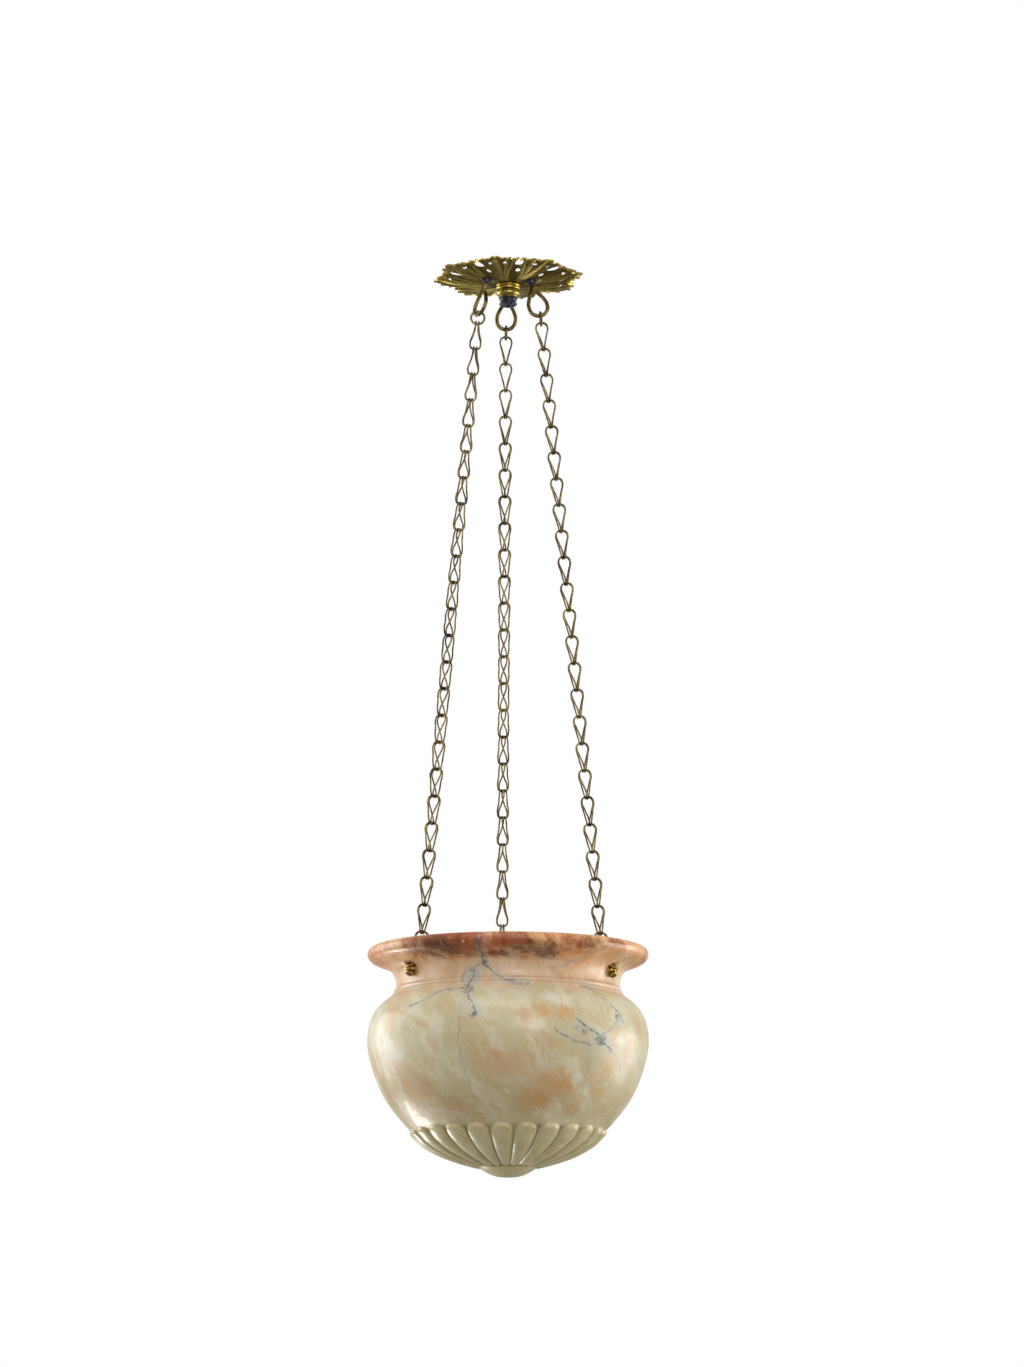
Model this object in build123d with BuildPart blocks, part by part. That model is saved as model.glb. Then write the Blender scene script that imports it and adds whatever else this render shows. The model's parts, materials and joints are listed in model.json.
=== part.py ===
"""Alabaster bowl pendant: a carved bowl hung on three chains from a pierced brass ceiling rose.

Millimetres. X is to the right, Y away from the viewer and Z up. The origin is the middle of the
ceiling strap's top face, against the ceiling, so that everything hangs at negative Z. The three
chains leave the rose at LEFT, RIGHT and BACK and lean outwards along straight lines that meet on
the axis above the ceiling, which is how a bowl on three equal chains comes to rest.
"""
import os
from math import asin, cos, degrees, pi, radians, sin, tan

from build123d import *

# ---------------------------------------------------------------- driving dimensions, mm
SIDES = {"left": -60.0, "right": 60.0, "back": 180.0}  # chain azimuths, degrees from the front

# ceiling strap and the hollow stem that carries the rose
STRAP_LENGTH = 64.0
STRAP_WIDTH = 15.0
STRAP_THICKNESS = 2.0
STRAP_HOLE_PITCH = 48.0
STRAP_HOLE_RADIUS = 2.3
STEM_RADIUS = 5.0
STEM_BORE = 3.9
STEM_LENGTH = 30.0
THREAD_CLEARANCE = 0.04
STRAP_NUT_FLATS = 14.0
STRAP_NUT_HEIGHT = 3.0

# pierced rose
ROSE_TIP_RADIUS = 78.0
ROSE_LEAVES = 8
ROSE_TURN = 8.5  # degrees that the first notch is turned from the front
ROSE_WALL = 2.4
ROSE_RIM_Z = -1.6  # underside of the leaf tips
ROSE_RIM_SEAT = 4.0  # width of the band at the tips that lies on the ceiling
ROSE_TRIM = 2.0  # what the leafy outline cuts off the turned blank
ROSE_WAIST_RADIUS = 30.0
ROSE_WAIST_Z = -10.4
ROSE_SEAT_RADIUS = 13.5
ROSE_SEAT_Z = -12.5
ROSE_BORE_CLEARANCE = 0.4
LEAF_EDGE = [  # share of the way across a leaf, depth of the edge in from the tips
    (0.0, 15.0), (0.06, 8.6), (0.12, 11.2), (0.19, 4.2), (0.27, 7.6), (0.34, 1.8), (0.42, 4.6),
    (0.5, 0.0), (0.58, 5.2), (0.65, 2.4), (0.72, 8.2), (0.8, 5.0), (0.87, 11.6), (0.93, 9.4),
]
PIERCING_RADIUS = 55.0  # slots between the leaves
PIERCING_LENGTH = 13.0
PIERCING_WIDTH = 6.4
EYE_RADIUS = 60.0  # round eyes beside each leaf's rib
EYE_WIDTH = 4.4
EYE_TURN = 8.0  # degrees from the rib
LEAF_RIB = [(16.0, 1.2, 0.7), (30.0, 1.9, 1.5), (66.0, 0.9, 0.6)]  # radius, half width, drop
LEAF_RIB_ROOT = 0.8  # how deep the ribs are rooted in the wall

# collar and outlet bush under the rose
COLLAR_RADIUS = 12.5
COLLAR_BAND = 5.0
COLLAR_HEIGHT = 14.0
COLLAR_NECK = 9.6
COLLAR_CHAMFER = 0.8
COLLAR_STEP = 1.2
COLLAR_SWELL = 2.3  # bulge of the collar's lower half out of its neck
COLLAR_SWELL_DROP = 3.8
BUSH_RADIUS = 9.3
BUSH_HEIGHT = 8.5
BUSH_CHAMFER = 0.6
BUSH_CHAMFER_HEIGHT = 0.9
BUSH_NOSE = 2.4
BUSH_NOSE_HEIGHT = 2.2
BUSH_FLEX_HOLE = 3.0

# hooks under the rose
HOOK_ROOT_RADIUS = 26.5
HOOK_WIRE = 4.0
HOOK_LOOP = 9.5  # loop radius at the wire's centre
HOOK_NECK = 30.0  # seat to the point where the teardrop's sides would meet
HOOK_NECK_BEND = 12.0
HOOK_END = 20.5  # height of the blunt end above the seat
HOOK_TURN = {"left": -60.0, "right": 0.0, "back": 0.0}  # loop planes, degrees about Z from X
HOOK_HAND = {"left": -1, "right": -1, "back": 1}  # the side that the shank runs down
HOOK_SEAT_RADIUS = 37.0
HOOK_SEAT_Z = -49.6
HOOK_NUT_FLATS = 8.0
HOOK_NUT_HEIGHT = 3.2
HOOK_COLLAR_RADIUS = 5.4
HOOK_COLLAR_HEIGHT = 4.2
HOOK_COLLAR_TAPER = 14.0  # degrees
HOOK_END_PROUD = 1.6  # thread past the nut
HOOK_HOLE_CLEARANCE = 0.1
HOOK_PAD_RIM = 0.6  # the rose's pad round each hook, wider than the collar and thicker than the wall
HOOK_SPOT_RIM = 2.0  # cleared round the collar
HOOK_SPOT_DEPTH = 3.0

# rings and loop-in-loop chain
RING_WIRE = 2.3
RING_RADIUS = 6.85  # at the wire's centre
CHAIN_WIRE = 1.7
CHAIN_LINKS = 23
LINK_PITCH = 27.65
ARCH_HALF_GAP = 1.4  # each link's two arches, from its middle plane
ARCH_REACH = 6.0
BEND_HALF_GAP = 0.95  # each link's two bottom bends, from its middle plane
BEND_REACH = 5.4
LINK_CORNER = 3.2
LINK_CORNER_EASE = 0.4
LINK_SECTION = 1.5  # side of the square that stands for the round wire
SEAT_GAP = 0.08  # daylight between a link and what it hangs on
HOOK_SEAT_GAP = 0.16  # daylight between a ring and its hook under the rose
BOLT_PIVOT_GAP = 0.8  # daylight between a foot ring and the bowl's hook in it
CHAIN_TURN = {"left": (0.0, 75.0), "right": (90.0, 100.0), "back": (90.0, 0.0)}  # first, last link

# bowl: radii and depths below the lip's crest
BOWL_NECK_RADIUS = 111.8
BOWL_NECK_DEPTH = 33.0
BOWL_NECK_LENGTH = 8.0
BOWL_LIP_OVERHANG = 28.6  # lip past the neck
BOWL_LIP_DEPTH = 6.5  # widest line of the lip
BOWL_LIP_THICKNESS = 14.0
BOWL_LIP_TUCK = 5.6  # lip's lower edge, in from its widest line
BOWL_CREST_INSET = 6.9
COVE_TOP_OUT = 8.7  # hollow between lip and neck, out from the neck
COVE_TOP_DROP = 5.8
COVE_MIDDLE_OUT = 2.6
COVE_MIDDLE_RISE = 7.6
BOWL_FILLET = 1.8  # how far the raised line under the neck stands out
BOWL_FILLET_WIDTH = 3.0
BOWL_FILLET_SLOPE = 1.0
BOWL_BELLY_RADIUS = 140.4
BOWL_BELLY_DEPTH = 91.8
SHOULDER_IN = 11.2  # middle of the curve from neck to belly
SHOULDER_RISE = 32.4
HAUNCH_IN = 11.0  # middle of the curve from belly to gadroons
HAUNCH_DROP = 47.0
BOWL_WALL = 9.0
BOWL_FLOOR = 14.0
GADROONS = 24
GADROON_STEP = 1.8  # gadroon tops proud of the belly
GADROON_RIDGES = [(97.4, 184.0), (91.6, 190.0), (80.3, 199.0), (58.0, 209.6), (27.6, 218.4)]
GADROON_RELIEF = 0.055  # valley depth as a share of the ridge's radius
BOSS_RADIUS = 27.0
BOSS_DEPTH = 228.0
BOSS_ROUND_RADIUS = 16.8
BOSS_ROUND_RISE = 2.4
INNER_CREST_FLAT = 0.5  # flat of the lip left inside its crest
INNER_CREST_SLOPE = 7.5
INNER_CREST_DROP = 5.0
INNER_THROAT_RISE = 12.0
INNER_THROAT_DROP = 2.0
INNER_BELLY = [(10.0, -26.0), (1.5, -8.0), (1.5, 12.0), (11.5, 46.0)]  # in from, down from its widest line
INNER_FOOT_IN = 3.0
INNER_FOOT_RISE = 4.0
INNER_BASIN_IN = 4.0
INNER_BASIN_RISE = 10.0
INNER_WELL_RISE = 4.0

# hook bolts through the bowl's neck
BOLT_ABOVE_NECK = 4.9
BOLT_WIRE = 3.0
BOLT_CROOK_INSET = 9.1  # chain's end, in from the neck's outer face
BOLT_CROOK = 5.0
BOLT_CROOK_TURN = {"left": 30.0, "right": -30.0, "back": 60.0}  # crooks, turned from radial
BOLT_STEM_INSET = 17.3
BOLT_BEND = 3.0
BOLT_SWEEP = 12.0
BOLT_DROP = 28.4  # crook to bolt axis
CROOK_BEND_EASE = 0.1
CROOK_STEM_DROP = 4.0
CROOK_TIP_DROP = 3.0
BOLT_NUT_FLATS = 6.0
BOLT_NUT_HEIGHT = 2.4
BOLT_WASHER_RADIUS = 5.0
BOLT_WASHER_THICKNESS = 1.0
BOLT_HOLE_CLEARANCE = 0.3
KNOB_RADIUS = 7.4
KNOB_HEIGHT = 8.6
KNOB_LOBES = 8
KNOB_SECTIONS = [(0.0, 0.86), (0.3, 1.0), (0.68, 0.8), (1.0, 0.3)]  # shares of height, of radius
BOLT_IN_KNOB = 6.0
KNOB_HOLE_SPARE = 0.8
KNOB_SEAT_OUT = 0.8  # flats cut for knob and washer, from the neck's faces
INNER_SEAT_OUT = 0.4
SEAT_CUT_CLEARANCE = 0.4

# lamp bracket, lampholder and lamp inside the bowl
BRACKET_THICKNESS = 1.5
BRACKET_WIDTH = 10.0
BRACKET_DROP = 6.5
BRACKET_HUB_RADIUS = 21.0
HOLDER_STEM_RADIUS = 5.0
HOLDER_STEM_BORE = 3.9
HOLDER_STEM_ABOVE = 7.0
HOLDER_STEM_BELOW = 9.0
HOLDER_NUT_FLATS = 14.0
HOLDER_NUT_HEIGHT = 3.0
CORD_GRIP_RADIUS = 7.5
CORD_GRIP_HEIGHT = 9.0
CORD_GRIP_HOLE = 3.2
CORD_GRIP_NOSE = 2.5
CORD_GRIP_NOSE_HEIGHT = 3.0
HOLDER_CAP_RADIUS = 16.0
HOLDER_CAP_HEIGHT = 15.0
HOLDER_BODY_RADIUS = 18.0
HOLDER_BODY_HEIGHT = 30.0
HOLDER_WALL = 2.0
HOLDER_FLOOR = 5.0
CAP_NECK_WALL = 3.0
CAP_NECK_HEIGHT = 4.0
CAP_SHOULDER_IN = 3.4
CAP_SHOULDER_DROP = 6.6
CAP_RIM_DROP = 10.5
CAP_LINING_IN = 2.6
CAP_LINING_DROP = 1.8
CAP_ROOF = 2.5
SHADE_RING_RADIUS = 22.0
SHADE_RING_HEIGHT = 6.0
SHADE_RING_DROP = 12.0
LAMP_CAP_RADIUS = 13.0
LAMP_CAP_HEIGHT = 24.0
LAMP_RADIUS = 30.0
LAMP_LENGTH = 78.0  # glass below the cap
LAMP_WALL = 1.0
LAMP_NECK_FLARE = 1.6
LAMP_NECK_LENGTH = 12.0
LAMP_SHOULDER_ANGLE = 26.0
LAMP_UNDER_ANGLE = -30.0

# ---------------------------------------------------------------- places worked out from them
TOP_SEAT_STEP = (HOOK_WIRE + RING_WIRE) / 2 + HOOK_SEAT_GAP
WIRES_TOUCH = (RING_WIRE + CHAIN_WIRE) / 2 + SEAT_GAP
ARCH_STEP = WIRES_TOUCH + (ARCH_HALF_GAP + CHAIN_WIRE / 2) ** 2 / (2 * RING_RADIUS)  # saddle on a ring
BEND_STEP = WIRES_TOUCH + (BEND_HALF_GAP + CHAIN_WIRE / 2) ** 2 / (2 * RING_RADIUS)
CROOK_STEP = (RING_WIRE + BOLT_WIRE) / 2 + BOLT_PIVOT_GAP
LINK_SEAT_STEP = CHAIN_WIRE + SEAT_GAP
LINK_LENGTH = LINK_PITCH + LINK_SEAT_STEP  # arch to bend, at the wire's centres
TOP_RING_S = RING_RADIUS - TOP_SEAT_STEP  # distances down the chain from the hook's seat
CHAIN_TOP_S = TOP_RING_S + RING_RADIUS - ARCH_STEP
CHAIN_END_S = CHAIN_TOP_S + (CHAIN_LINKS - 1) * LINK_PITCH + LINK_LENGTH
FOOT_RING_S = CHAIN_END_S - BEND_STEP + RING_RADIUS
CROOK_S = FOOT_RING_S + RING_RADIUS - CROOK_STEP
CROOK_RADIUS = BOWL_NECK_RADIUS - BOLT_CROOK_INSET
LEAN = asin((CROOK_RADIUS - HOOK_SEAT_RADIUS) / CROOK_S)
CROOK_Z = HOOK_SEAT_Z - CROOK_S * cos(LEAN)
BOLT_Z = CROOK_Z - BOLT_DROP
CREST_Z = BOLT_Z + BOWL_NECK_DEPTH - BOLT_ABOVE_NECK
LIP_RADIUS = BOWL_NECK_RADIUS + BOWL_LIP_OVERHANG
CREST_RADIUS = LIP_RADIUS - BOWL_CREST_INSET
KNOB_SEAT_RADIUS = BOWL_NECK_RADIUS + KNOB_SEAT_OUT
INNER_NECK_RADIUS = BOWL_NECK_RADIUS - BOWL_WALL
INNER_SEAT_RADIUS = INNER_NECK_RADIUS + INNER_SEAT_OUT
HUB_TOP_Z = BOLT_Z - BRACKET_DROP
ROSE_BORE = STEM_RADIUS + ROSE_BORE_CLEARANCE
STEM_HOLE = STEM_RADIUS + THREAD_CLEARANCE
HOLDER_STEM_HOLE = HOLDER_STEM_RADIUS + THREAD_CLEARANCE
HOOK_PAD = ROSE_WALL + HOOK_PAD_RIM
TAB_RADIUS = INNER_SEAT_RADIUS - BOLT_WASHER_THICKNESS  # outer face of the bracket's tabs


def outward(side):
    """Unit vector from the axis towards a chain."""
    turn = radians(SIDES[side])
    return Vector(sin(turn), -cos(turn), 0)


def hook_seat(side):
    return outward(side) * HOOK_SEAT_RADIUS + Vector(0, 0, HOOK_SEAT_Z)


def chain_up(side):
    """Unit vector up a chain, from the bowl to the rose."""
    return outward(side) * -sin(LEAN) + Vector(0, 0, cos(LEAN))


def chain_plane(side, down, turn=0.0):
    """Plane on a chain, down millimetres below its hook, with Z up the chain and X turned."""
    up = chain_up(side)
    across = Vector(cos(radians(turn)), sin(radians(turn)), 0)
    across = (across - up * across.dot(up)).normalized()
    return Plane(origin=hook_seat(side) - up * down, x_dir=across, z_dir=up)


def radial_plane(side, radius, height):
    """Plane at a radius, with Z pointing outwards and Y up."""
    spot = outward(side) * radius + Vector(0, 0, height)
    across = Vector(0, 0, 1).cross(outward(side))
    return Plane(origin=spot, x_dir=across, z_dir=outward(side))


def leaf_underside(radius):
    """Height of the rose's underside, which flares from its seat to the leaf tips."""
    if radius < ROSE_WAIST_RADIUS:
        share = (radius - ROSE_SEAT_RADIUS) / (ROSE_WAIST_RADIUS - ROSE_SEAT_RADIUS)
        return ROSE_SEAT_Z + share * (ROSE_WAIST_Z - ROSE_SEAT_Z)
    share = (radius - ROSE_WAIST_RADIUS) / (ROSE_TIP_RADIUS - ROSE_WAIST_RADIUS)
    return ROSE_WAIST_Z + share * (ROSE_RIM_Z - ROSE_WAIST_Z)


def save(piece, name):
    piece.label = name
    export_step(piece, f"parts/{name}.step")


os.makedirs("parts", exist_ok=True)

# ---------------------------------------------------------------- strap, stem and strap nut
with BuildPart() as ceiling_strap:
    with BuildSketch():
        SlotOverall(STRAP_LENGTH, STRAP_WIDTH)
        Circle(STEM_HOLE, mode=Mode.SUBTRACT)
        with GridLocations(STRAP_HOLE_PITCH, 0, 2, 1):
            Circle(STRAP_HOLE_RADIUS, mode=Mode.SUBTRACT)
    extrude(amount=-STRAP_THICKNESS)
save(ceiling_strap.part, "ceiling_strap")

with BuildPart() as hollow_stem:
    with BuildSketch():
        Circle(STEM_RADIUS)
        Circle(STEM_BORE, mode=Mode.SUBTRACT)
    extrude(amount=-STEM_LENGTH)
save(hollow_stem.part, "hollow_stem")

with BuildPart() as strap_nut:
    with BuildSketch(Plane.XY.offset(-STRAP_THICKNESS)):
        RegularPolygon(STRAP_NUT_FLATS / 2, 6, major_radius=False)
        Circle(STEM_HOLE, mode=Mode.SUBTRACT)
    extrude(amount=-STRAP_NUT_HEIGHT)
save(strap_nut.part, "strap_nut")

# ---------------------------------------------------------------- pierced rose
HOOK_AXES = {}  # each hook's shank: its foot on the rose's underside and its direction up
for side in SIDES:
    foot = outward(side) * HOOK_ROOT_RADIUS + Vector(0, 0, leaf_underside(HOOK_ROOT_RADIUS))
    HOOK_AXES[side] = (foot, (foot - hook_seat(side)).normalized())


def rose_outline():
    """Leafy edge of the rose: each leaf rises in uneven teeth from a notch to its tip and falls again."""
    leaf = 2 * pi / ROSE_LEAVES
    marks = []
    for n in range(ROSE_LEAVES):
        for share, depth in LEAF_EDGE:
            marks.append((radians(ROSE_TURN) + (n + share) * leaf, ROSE_TIP_RADIUS - depth))
    return [(radius * sin(turn), -radius * cos(turn)) for turn, radius in marks]


with BuildPart() as leaf_rib:
    for radius, half_width, drop in LEAF_RIB:
        with BuildSketch(Plane(origin=(0, -radius, leaf_underside(radius)), x_dir=(1, 0, 0), z_dir=(0, -1, 0))):
            with BuildLine():
                Polyline((-half_width, LEAF_RIB_ROOT), (0, -drop), (half_width, LEAF_RIB_ROOT), close=True)
            make_face()
    loft(ruled=True)

rib_turn = ROSE_TURN + 180 / ROSE_LEAVES
with BuildPart() as ceiling_rose:
    with BuildSketch(Plane.XZ):
        with BuildLine():
            Polyline(
                (ROSE_BORE, ROSE_SEAT_Z),
                (ROSE_SEAT_RADIUS, ROSE_SEAT_Z),
                (ROSE_WAIST_RADIUS, ROSE_WAIST_Z),
            )
            Polyline(
                (ROSE_WAIST_RADIUS, ROSE_WAIST_Z),
                (ROSE_TIP_RADIUS + ROSE_TRIM, ROSE_RIM_Z),
                (ROSE_TIP_RADIUS + ROSE_TRIM, 0),
                (ROSE_TIP_RADIUS - ROSE_RIM_SEAT, 0),
                (ROSE_WAIST_RADIUS, ROSE_WAIST_Z + ROSE_WALL),
                (ROSE_SEAT_RADIUS, ROSE_SEAT_Z + ROSE_WALL),
                (ROSE_BORE, ROSE_SEAT_Z + ROSE_WALL),
                (ROSE_BORE, ROSE_SEAT_Z),
            )
        make_face()
    revolve(axis=Axis.Z)
    with PolarLocations(0, ROSE_LEAVES, start_angle=rib_turn):
        add(leaf_rib.part)
    with BuildSketch():
        with BuildLine():
            Polyline(*rose_outline(), close=True)
        make_face()
        with PolarLocations(PIERCING_RADIUS, ROSE_LEAVES, start_angle=ROSE_TURN - 90):
            SlotOverall(PIERCING_LENGTH, PIERCING_WIDTH, mode=Mode.SUBTRACT)
        for turn in (rib_turn - EYE_TURN, rib_turn + EYE_TURN):
            with PolarLocations(EYE_RADIUS, ROSE_LEAVES, start_angle=turn - 90):
                Circle(EYE_WIDTH / 2, mode=Mode.SUBTRACT)
        Circle(ROSE_BORE, mode=Mode.SUBTRACT)
    extrude(amount=2 * ROSE_SEAT_Z, mode=Mode.INTERSECT)
    for foot, up in HOOK_AXES.values():
        with BuildSketch(Plane(origin=foot, z_dir=up)):
            Circle(HOOK_COLLAR_RADIUS + HOOK_PAD_RIM)
        extrude(amount=HOOK_PAD)
        with BuildSketch(Plane(origin=foot - up * HOOK_SPOT_DEPTH, z_dir=up)):
            Circle(HOOK_COLLAR_RADIUS + HOOK_SPOT_RIM)
        extrude(amount=HOOK_SPOT_DEPTH, mode=Mode.SUBTRACT)
        with BuildSketch(Plane(origin=foot - up * HOOK_SPOT_DEPTH, z_dir=up)):
            Circle(HOOK_WIRE / 2 + HOOK_HOLE_CLEARANCE)
        extrude(amount=2 * (HOOK_SPOT_DEPTH + HOOK_PAD), mode=Mode.SUBTRACT)
save(ceiling_rose.part, "ceiling_rose")

# ---------------------------------------------------------------- collar and outlet bush
collar_bottom = ROSE_SEAT_Z - COLLAR_HEIGHT
swell_top = ROSE_SEAT_Z - COLLAR_BAND - COLLAR_STEP
with BuildPart() as rose_collar:
    with BuildSketch(Plane.XZ):
        with BuildLine():
            Polyline(
                (STEM_HOLE, ROSE_SEAT_Z),
                (COLLAR_RADIUS - COLLAR_CHAMFER, ROSE_SEAT_Z),
                (COLLAR_RADIUS, ROSE_SEAT_Z - COLLAR_CHAMFER),
                (COLLAR_RADIUS, ROSE_SEAT_Z - COLLAR_BAND),
                (COLLAR_NECK, swell_top),
            )
            ThreePointArc(
                (COLLAR_NECK, swell_top),
                (COLLAR_NECK + COLLAR_SWELL, ROSE_SEAT_Z - COLLAR_BAND - COLLAR_SWELL_DROP),
                (COLLAR_NECK, collar_bottom),
            )
            Polyline((COLLAR_NECK, collar_bottom), (STEM_HOLE, collar_bottom), (STEM_HOLE, ROSE_SEAT_Z))
        make_face()
    revolve(axis=Axis.Z)
save(rose_collar.part, "rose_collar")

bush_bottom = collar_bottom - BUSH_HEIGHT
with BuildPart() as outlet_bush:
    with BuildSketch(Plane.XZ):
        with BuildLine():
            Polyline(
                (STEM_HOLE, collar_bottom),
                (BUSH_RADIUS - BUSH_CHAMFER, collar_bottom),
                (BUSH_RADIUS, collar_bottom - BUSH_CHAMFER_HEIGHT),
                (BUSH_RADIUS, bush_bottom + BUSH_NOSE_HEIGHT),
                (BUSH_RADIUS - BUSH_NOSE, bush_bottom),
                (BUSH_FLEX_HOLE, bush_bottom),
                (BUSH_FLEX_HOLE, -STEM_LENGTH),
                (STEM_HOLE, -STEM_LENGTH),
                close=True,
            )
        make_face()
    revolve(axis=Axis.Z)
save(outlet_bush.part, "outlet_bush")

# ---------------------------------------------------------------- hooks and what holds them
for side in SIDES:
    foot, up = HOOK_AXES[side]
    hand = HOOK_HAND[side]
    shank = (foot - hook_seat(side)).length
    taper = asin(HOOK_LOOP / (HOOK_NECK - HOOK_LOOP))
    turn = radians(HOOK_TURN[side])
    across = Vector(cos(turn), sin(turn), 0)
    across = (across - up * across.dot(up)).normalized()
    loop_plane = Plane(origin=hook_seat(side), x_dir=across, z_dir=across.cross(up))
    with BuildPart() as hook:
        with BuildLine(loop_plane) as wire:
            top = (0, shank + HOOK_PAD + HOOK_NUT_HEIGHT + HOOK_END_PROUD)
            shoulder = (hand * HOOK_LOOP * cos(taper), HOOK_LOOP * (1 + sin(taper)))
            end = (-hand * (HOOK_NECK - HOOK_END) * tan(taper), HOOK_END)
            FilletPolyline(top, (0, HOOK_NECK), shoulder, radius=HOOK_NECK_BEND)
            ThreePointArc(shoulder, (0, 0), (-shoulder[0], shoulder[1]))
            Line((-shoulder[0], shoulder[1]), end)
        with BuildSketch(Plane(origin=loop_plane.from_local_coords(top), z_dir=up * -1)):
            RegularPolygon(HOOK_WIRE / 2, 6)
        sweep(path=wire.wires()[0])
    save(hook.part, f"hook_{side}")

with BuildPart() as hook_collars:
    for foot, up in HOOK_AXES.values():
        with BuildSketch(Plane(origin=foot, z_dir=up * -1)):
            Circle(HOOK_COLLAR_RADIUS)
        extrude(amount=HOOK_COLLAR_HEIGHT, taper=HOOK_COLLAR_TAPER)
        with BuildSketch(Plane(origin=foot, z_dir=up * -1)):
            Circle(HOOK_WIRE / 2 + THREAD_CLEARANCE)
        extrude(amount=HOOK_COLLAR_HEIGHT, mode=Mode.SUBTRACT)
save(hook_collars.part, "hook_collars")

with BuildPart() as hook_nuts:
    for foot, up in HOOK_AXES.values():
        with BuildSketch(Plane(origin=foot + up * HOOK_PAD, z_dir=up)):
            RegularPolygon(HOOK_NUT_FLATS / 2, 6, major_radius=False)
            Circle(HOOK_WIRE / 2 + THREAD_CLEARANCE, mode=Mode.SUBTRACT)
        extrude(amount=HOOK_NUT_HEIGHT)
save(hook_nuts.part, "hook_nuts")

# ---------------------------------------------------------------- rings
for side in SIDES:
    for name, down, turn in (
        (f"top_ring_{side}", TOP_RING_S, CHAIN_TURN[side][0]),
        (f"foot_ring_{side}", FOOT_RING_S, CHAIN_TURN[side][1] + 90),
    ):
        middle = chain_plane(side, down, turn)
        ring_plane = Plane(origin=middle.origin, x_dir=middle.x_dir, z_dir=middle.y_dir)
        section_plane = Plane(
            origin=middle.origin + middle.x_dir * RING_RADIUS, x_dir=middle.x_dir, z_dir=middle.z_dir
        )
        with BuildPart() as ring:
            with BuildSketch(section_plane):
                RegularPolygon(RING_WIRE / 2, 6)
            revolve(axis=Axis(middle.origin, middle.y_dir))
        save(ring.part, name)

# ---------------------------------------------------------------- chains
with BuildPart() as link:
    bend_middle = (0, BEND_HALF_GAP, 0)
    with BuildLine() as quarter:
        Polyline(
            bend_middle,
            (BEND_REACH - LINK_CORNER + LINK_CORNER_EASE, BEND_HALF_GAP, 0),
            (BEND_REACH, BEND_HALF_GAP, LINK_CORNER),
            (ARCH_HALF_GAP, ARCH_REACH, LINK_LENGTH - LINK_CORNER),
            (ARCH_HALF_GAP, ARCH_REACH - LINK_CORNER + LINK_CORNER_EASE, LINK_LENGTH),
            (ARCH_HALF_GAP, 0, LINK_LENGTH),
        )
    with BuildSketch(Plane(origin=bend_middle, x_dir=(0, 1, 0), z_dir=(1, 0, 0))):
        Rectangle(LINK_SECTION, LINK_SECTION)
    sweep(path=quarter.wires()[0], transition=Transition.RIGHT)
    mirror(about=Plane.XZ)
    mirror(about=Plane.YZ)

for side in SIDES:
    first_turn, last_turn = CHAIN_TURN[side]
    with BuildPart() as chain:
        for n in range(CHAIN_LINKS):
            bend_down = CHAIN_TOP_S + n * LINK_PITCH + LINK_LENGTH
            turn = first_turn + (last_turn - first_turn) * n / (CHAIN_LINKS - 1)
            add(chain_plane(side, bend_down, turn).location * link.part)
    save(chain.part, f"chain_{side}")

# ---------------------------------------------------------------- hook bolts through the neck
for side in SIDES:
    away = outward(side)
    crook_bend = BOLT_CROOK - CROOK_BEND_EASE
    swing = radians(SIDES[side] + BOLT_CROOK_TURN[side])
    along = Vector(sin(swing), -cos(swing), 0)
    crook = away * CROOK_RADIUS + Vector(0, 0, CROOK_Z)
    outer_end = away * (KNOB_SEAT_RADIUS + BOLT_IN_KNOB) + Vector(0, 0, BOLT_Z)
    elbow = away * (BOWL_NECK_RADIUS - BOLT_STEM_INSET) + Vector(0, 0, BOLT_Z)
    with BuildPart() as bowl_hook:
        with BuildLine() as wire:
            FilletPolyline(
                outer_end,
                elbow,
                crook - along * BOLT_CROOK - Vector(0, 0, BOLT_CROOK + CROOK_STEM_DROP),
                crook - along * BOLT_CROOK,
                crook + along * BOLT_CROOK,
                crook + along * BOLT_CROOK - Vector(0, 0, BOLT_CROOK + CROOK_TIP_DROP),
                radius=[BOLT_BEND, BOLT_SWEEP, crook_bend, crook_bend],
            )
        with BuildSketch(Plane(origin=outer_end, z_dir=away * -1)):
            RegularPolygon(BOLT_WIRE / 2, 6)
        sweep(path=wire.wires()[0])
    save(bowl_hook.part, f"bowl_hook_{side}")

    neck_plane = radial_plane(side, KNOB_SEAT_RADIUS, BOLT_Z)
    with BuildPart() as knob:
        for height, width in KNOB_SECTIONS:
            with BuildSketch(neck_plane.offset(KNOB_HEIGHT * height)):
                RegularPolygon(KNOB_RADIUS * width, KNOB_LOBES)
        loft(ruled=True)
        with BuildSketch(neck_plane):
            Circle(BOLT_WIRE / 2 + THREAD_CLEARANCE)
        extrude(amount=BOLT_IN_KNOB + KNOB_HOLE_SPARE, mode=Mode.SUBTRACT)
    save(knob.part, f"knob_{side}")

with BuildPart() as bolt_washers:
    for side in SIDES:
        with BuildSketch(radial_plane(side, TAB_RADIUS, BOLT_Z)):
            Circle(BOLT_WASHER_RADIUS)
            Circle(BOLT_WIRE / 2 + THREAD_CLEARANCE, mode=Mode.SUBTRACT)
        extrude(amount=BOLT_WASHER_THICKNESS)
save(bolt_washers.part, "bolt_washers")

with BuildPart() as bolt_nuts:
    for side in SIDES:
        with BuildSketch(radial_plane(side, TAB_RADIUS - BRACKET_THICKNESS - BOLT_NUT_HEIGHT, BOLT_Z)):
            RegularPolygon(BOLT_NUT_FLATS / 2, 6, major_radius=False)
            Circle(BOLT_WIRE / 2 + THREAD_CLEARANCE, mode=Mode.SUBTRACT)
        extrude(amount=BOLT_NUT_HEIGHT)
save(bolt_nuts.part, "bolt_nuts")

# ---------------------------------------------------------------- alabaster bowl
def at_depth(radius, depth):
    return (radius, CREST_Z - depth)


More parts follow.
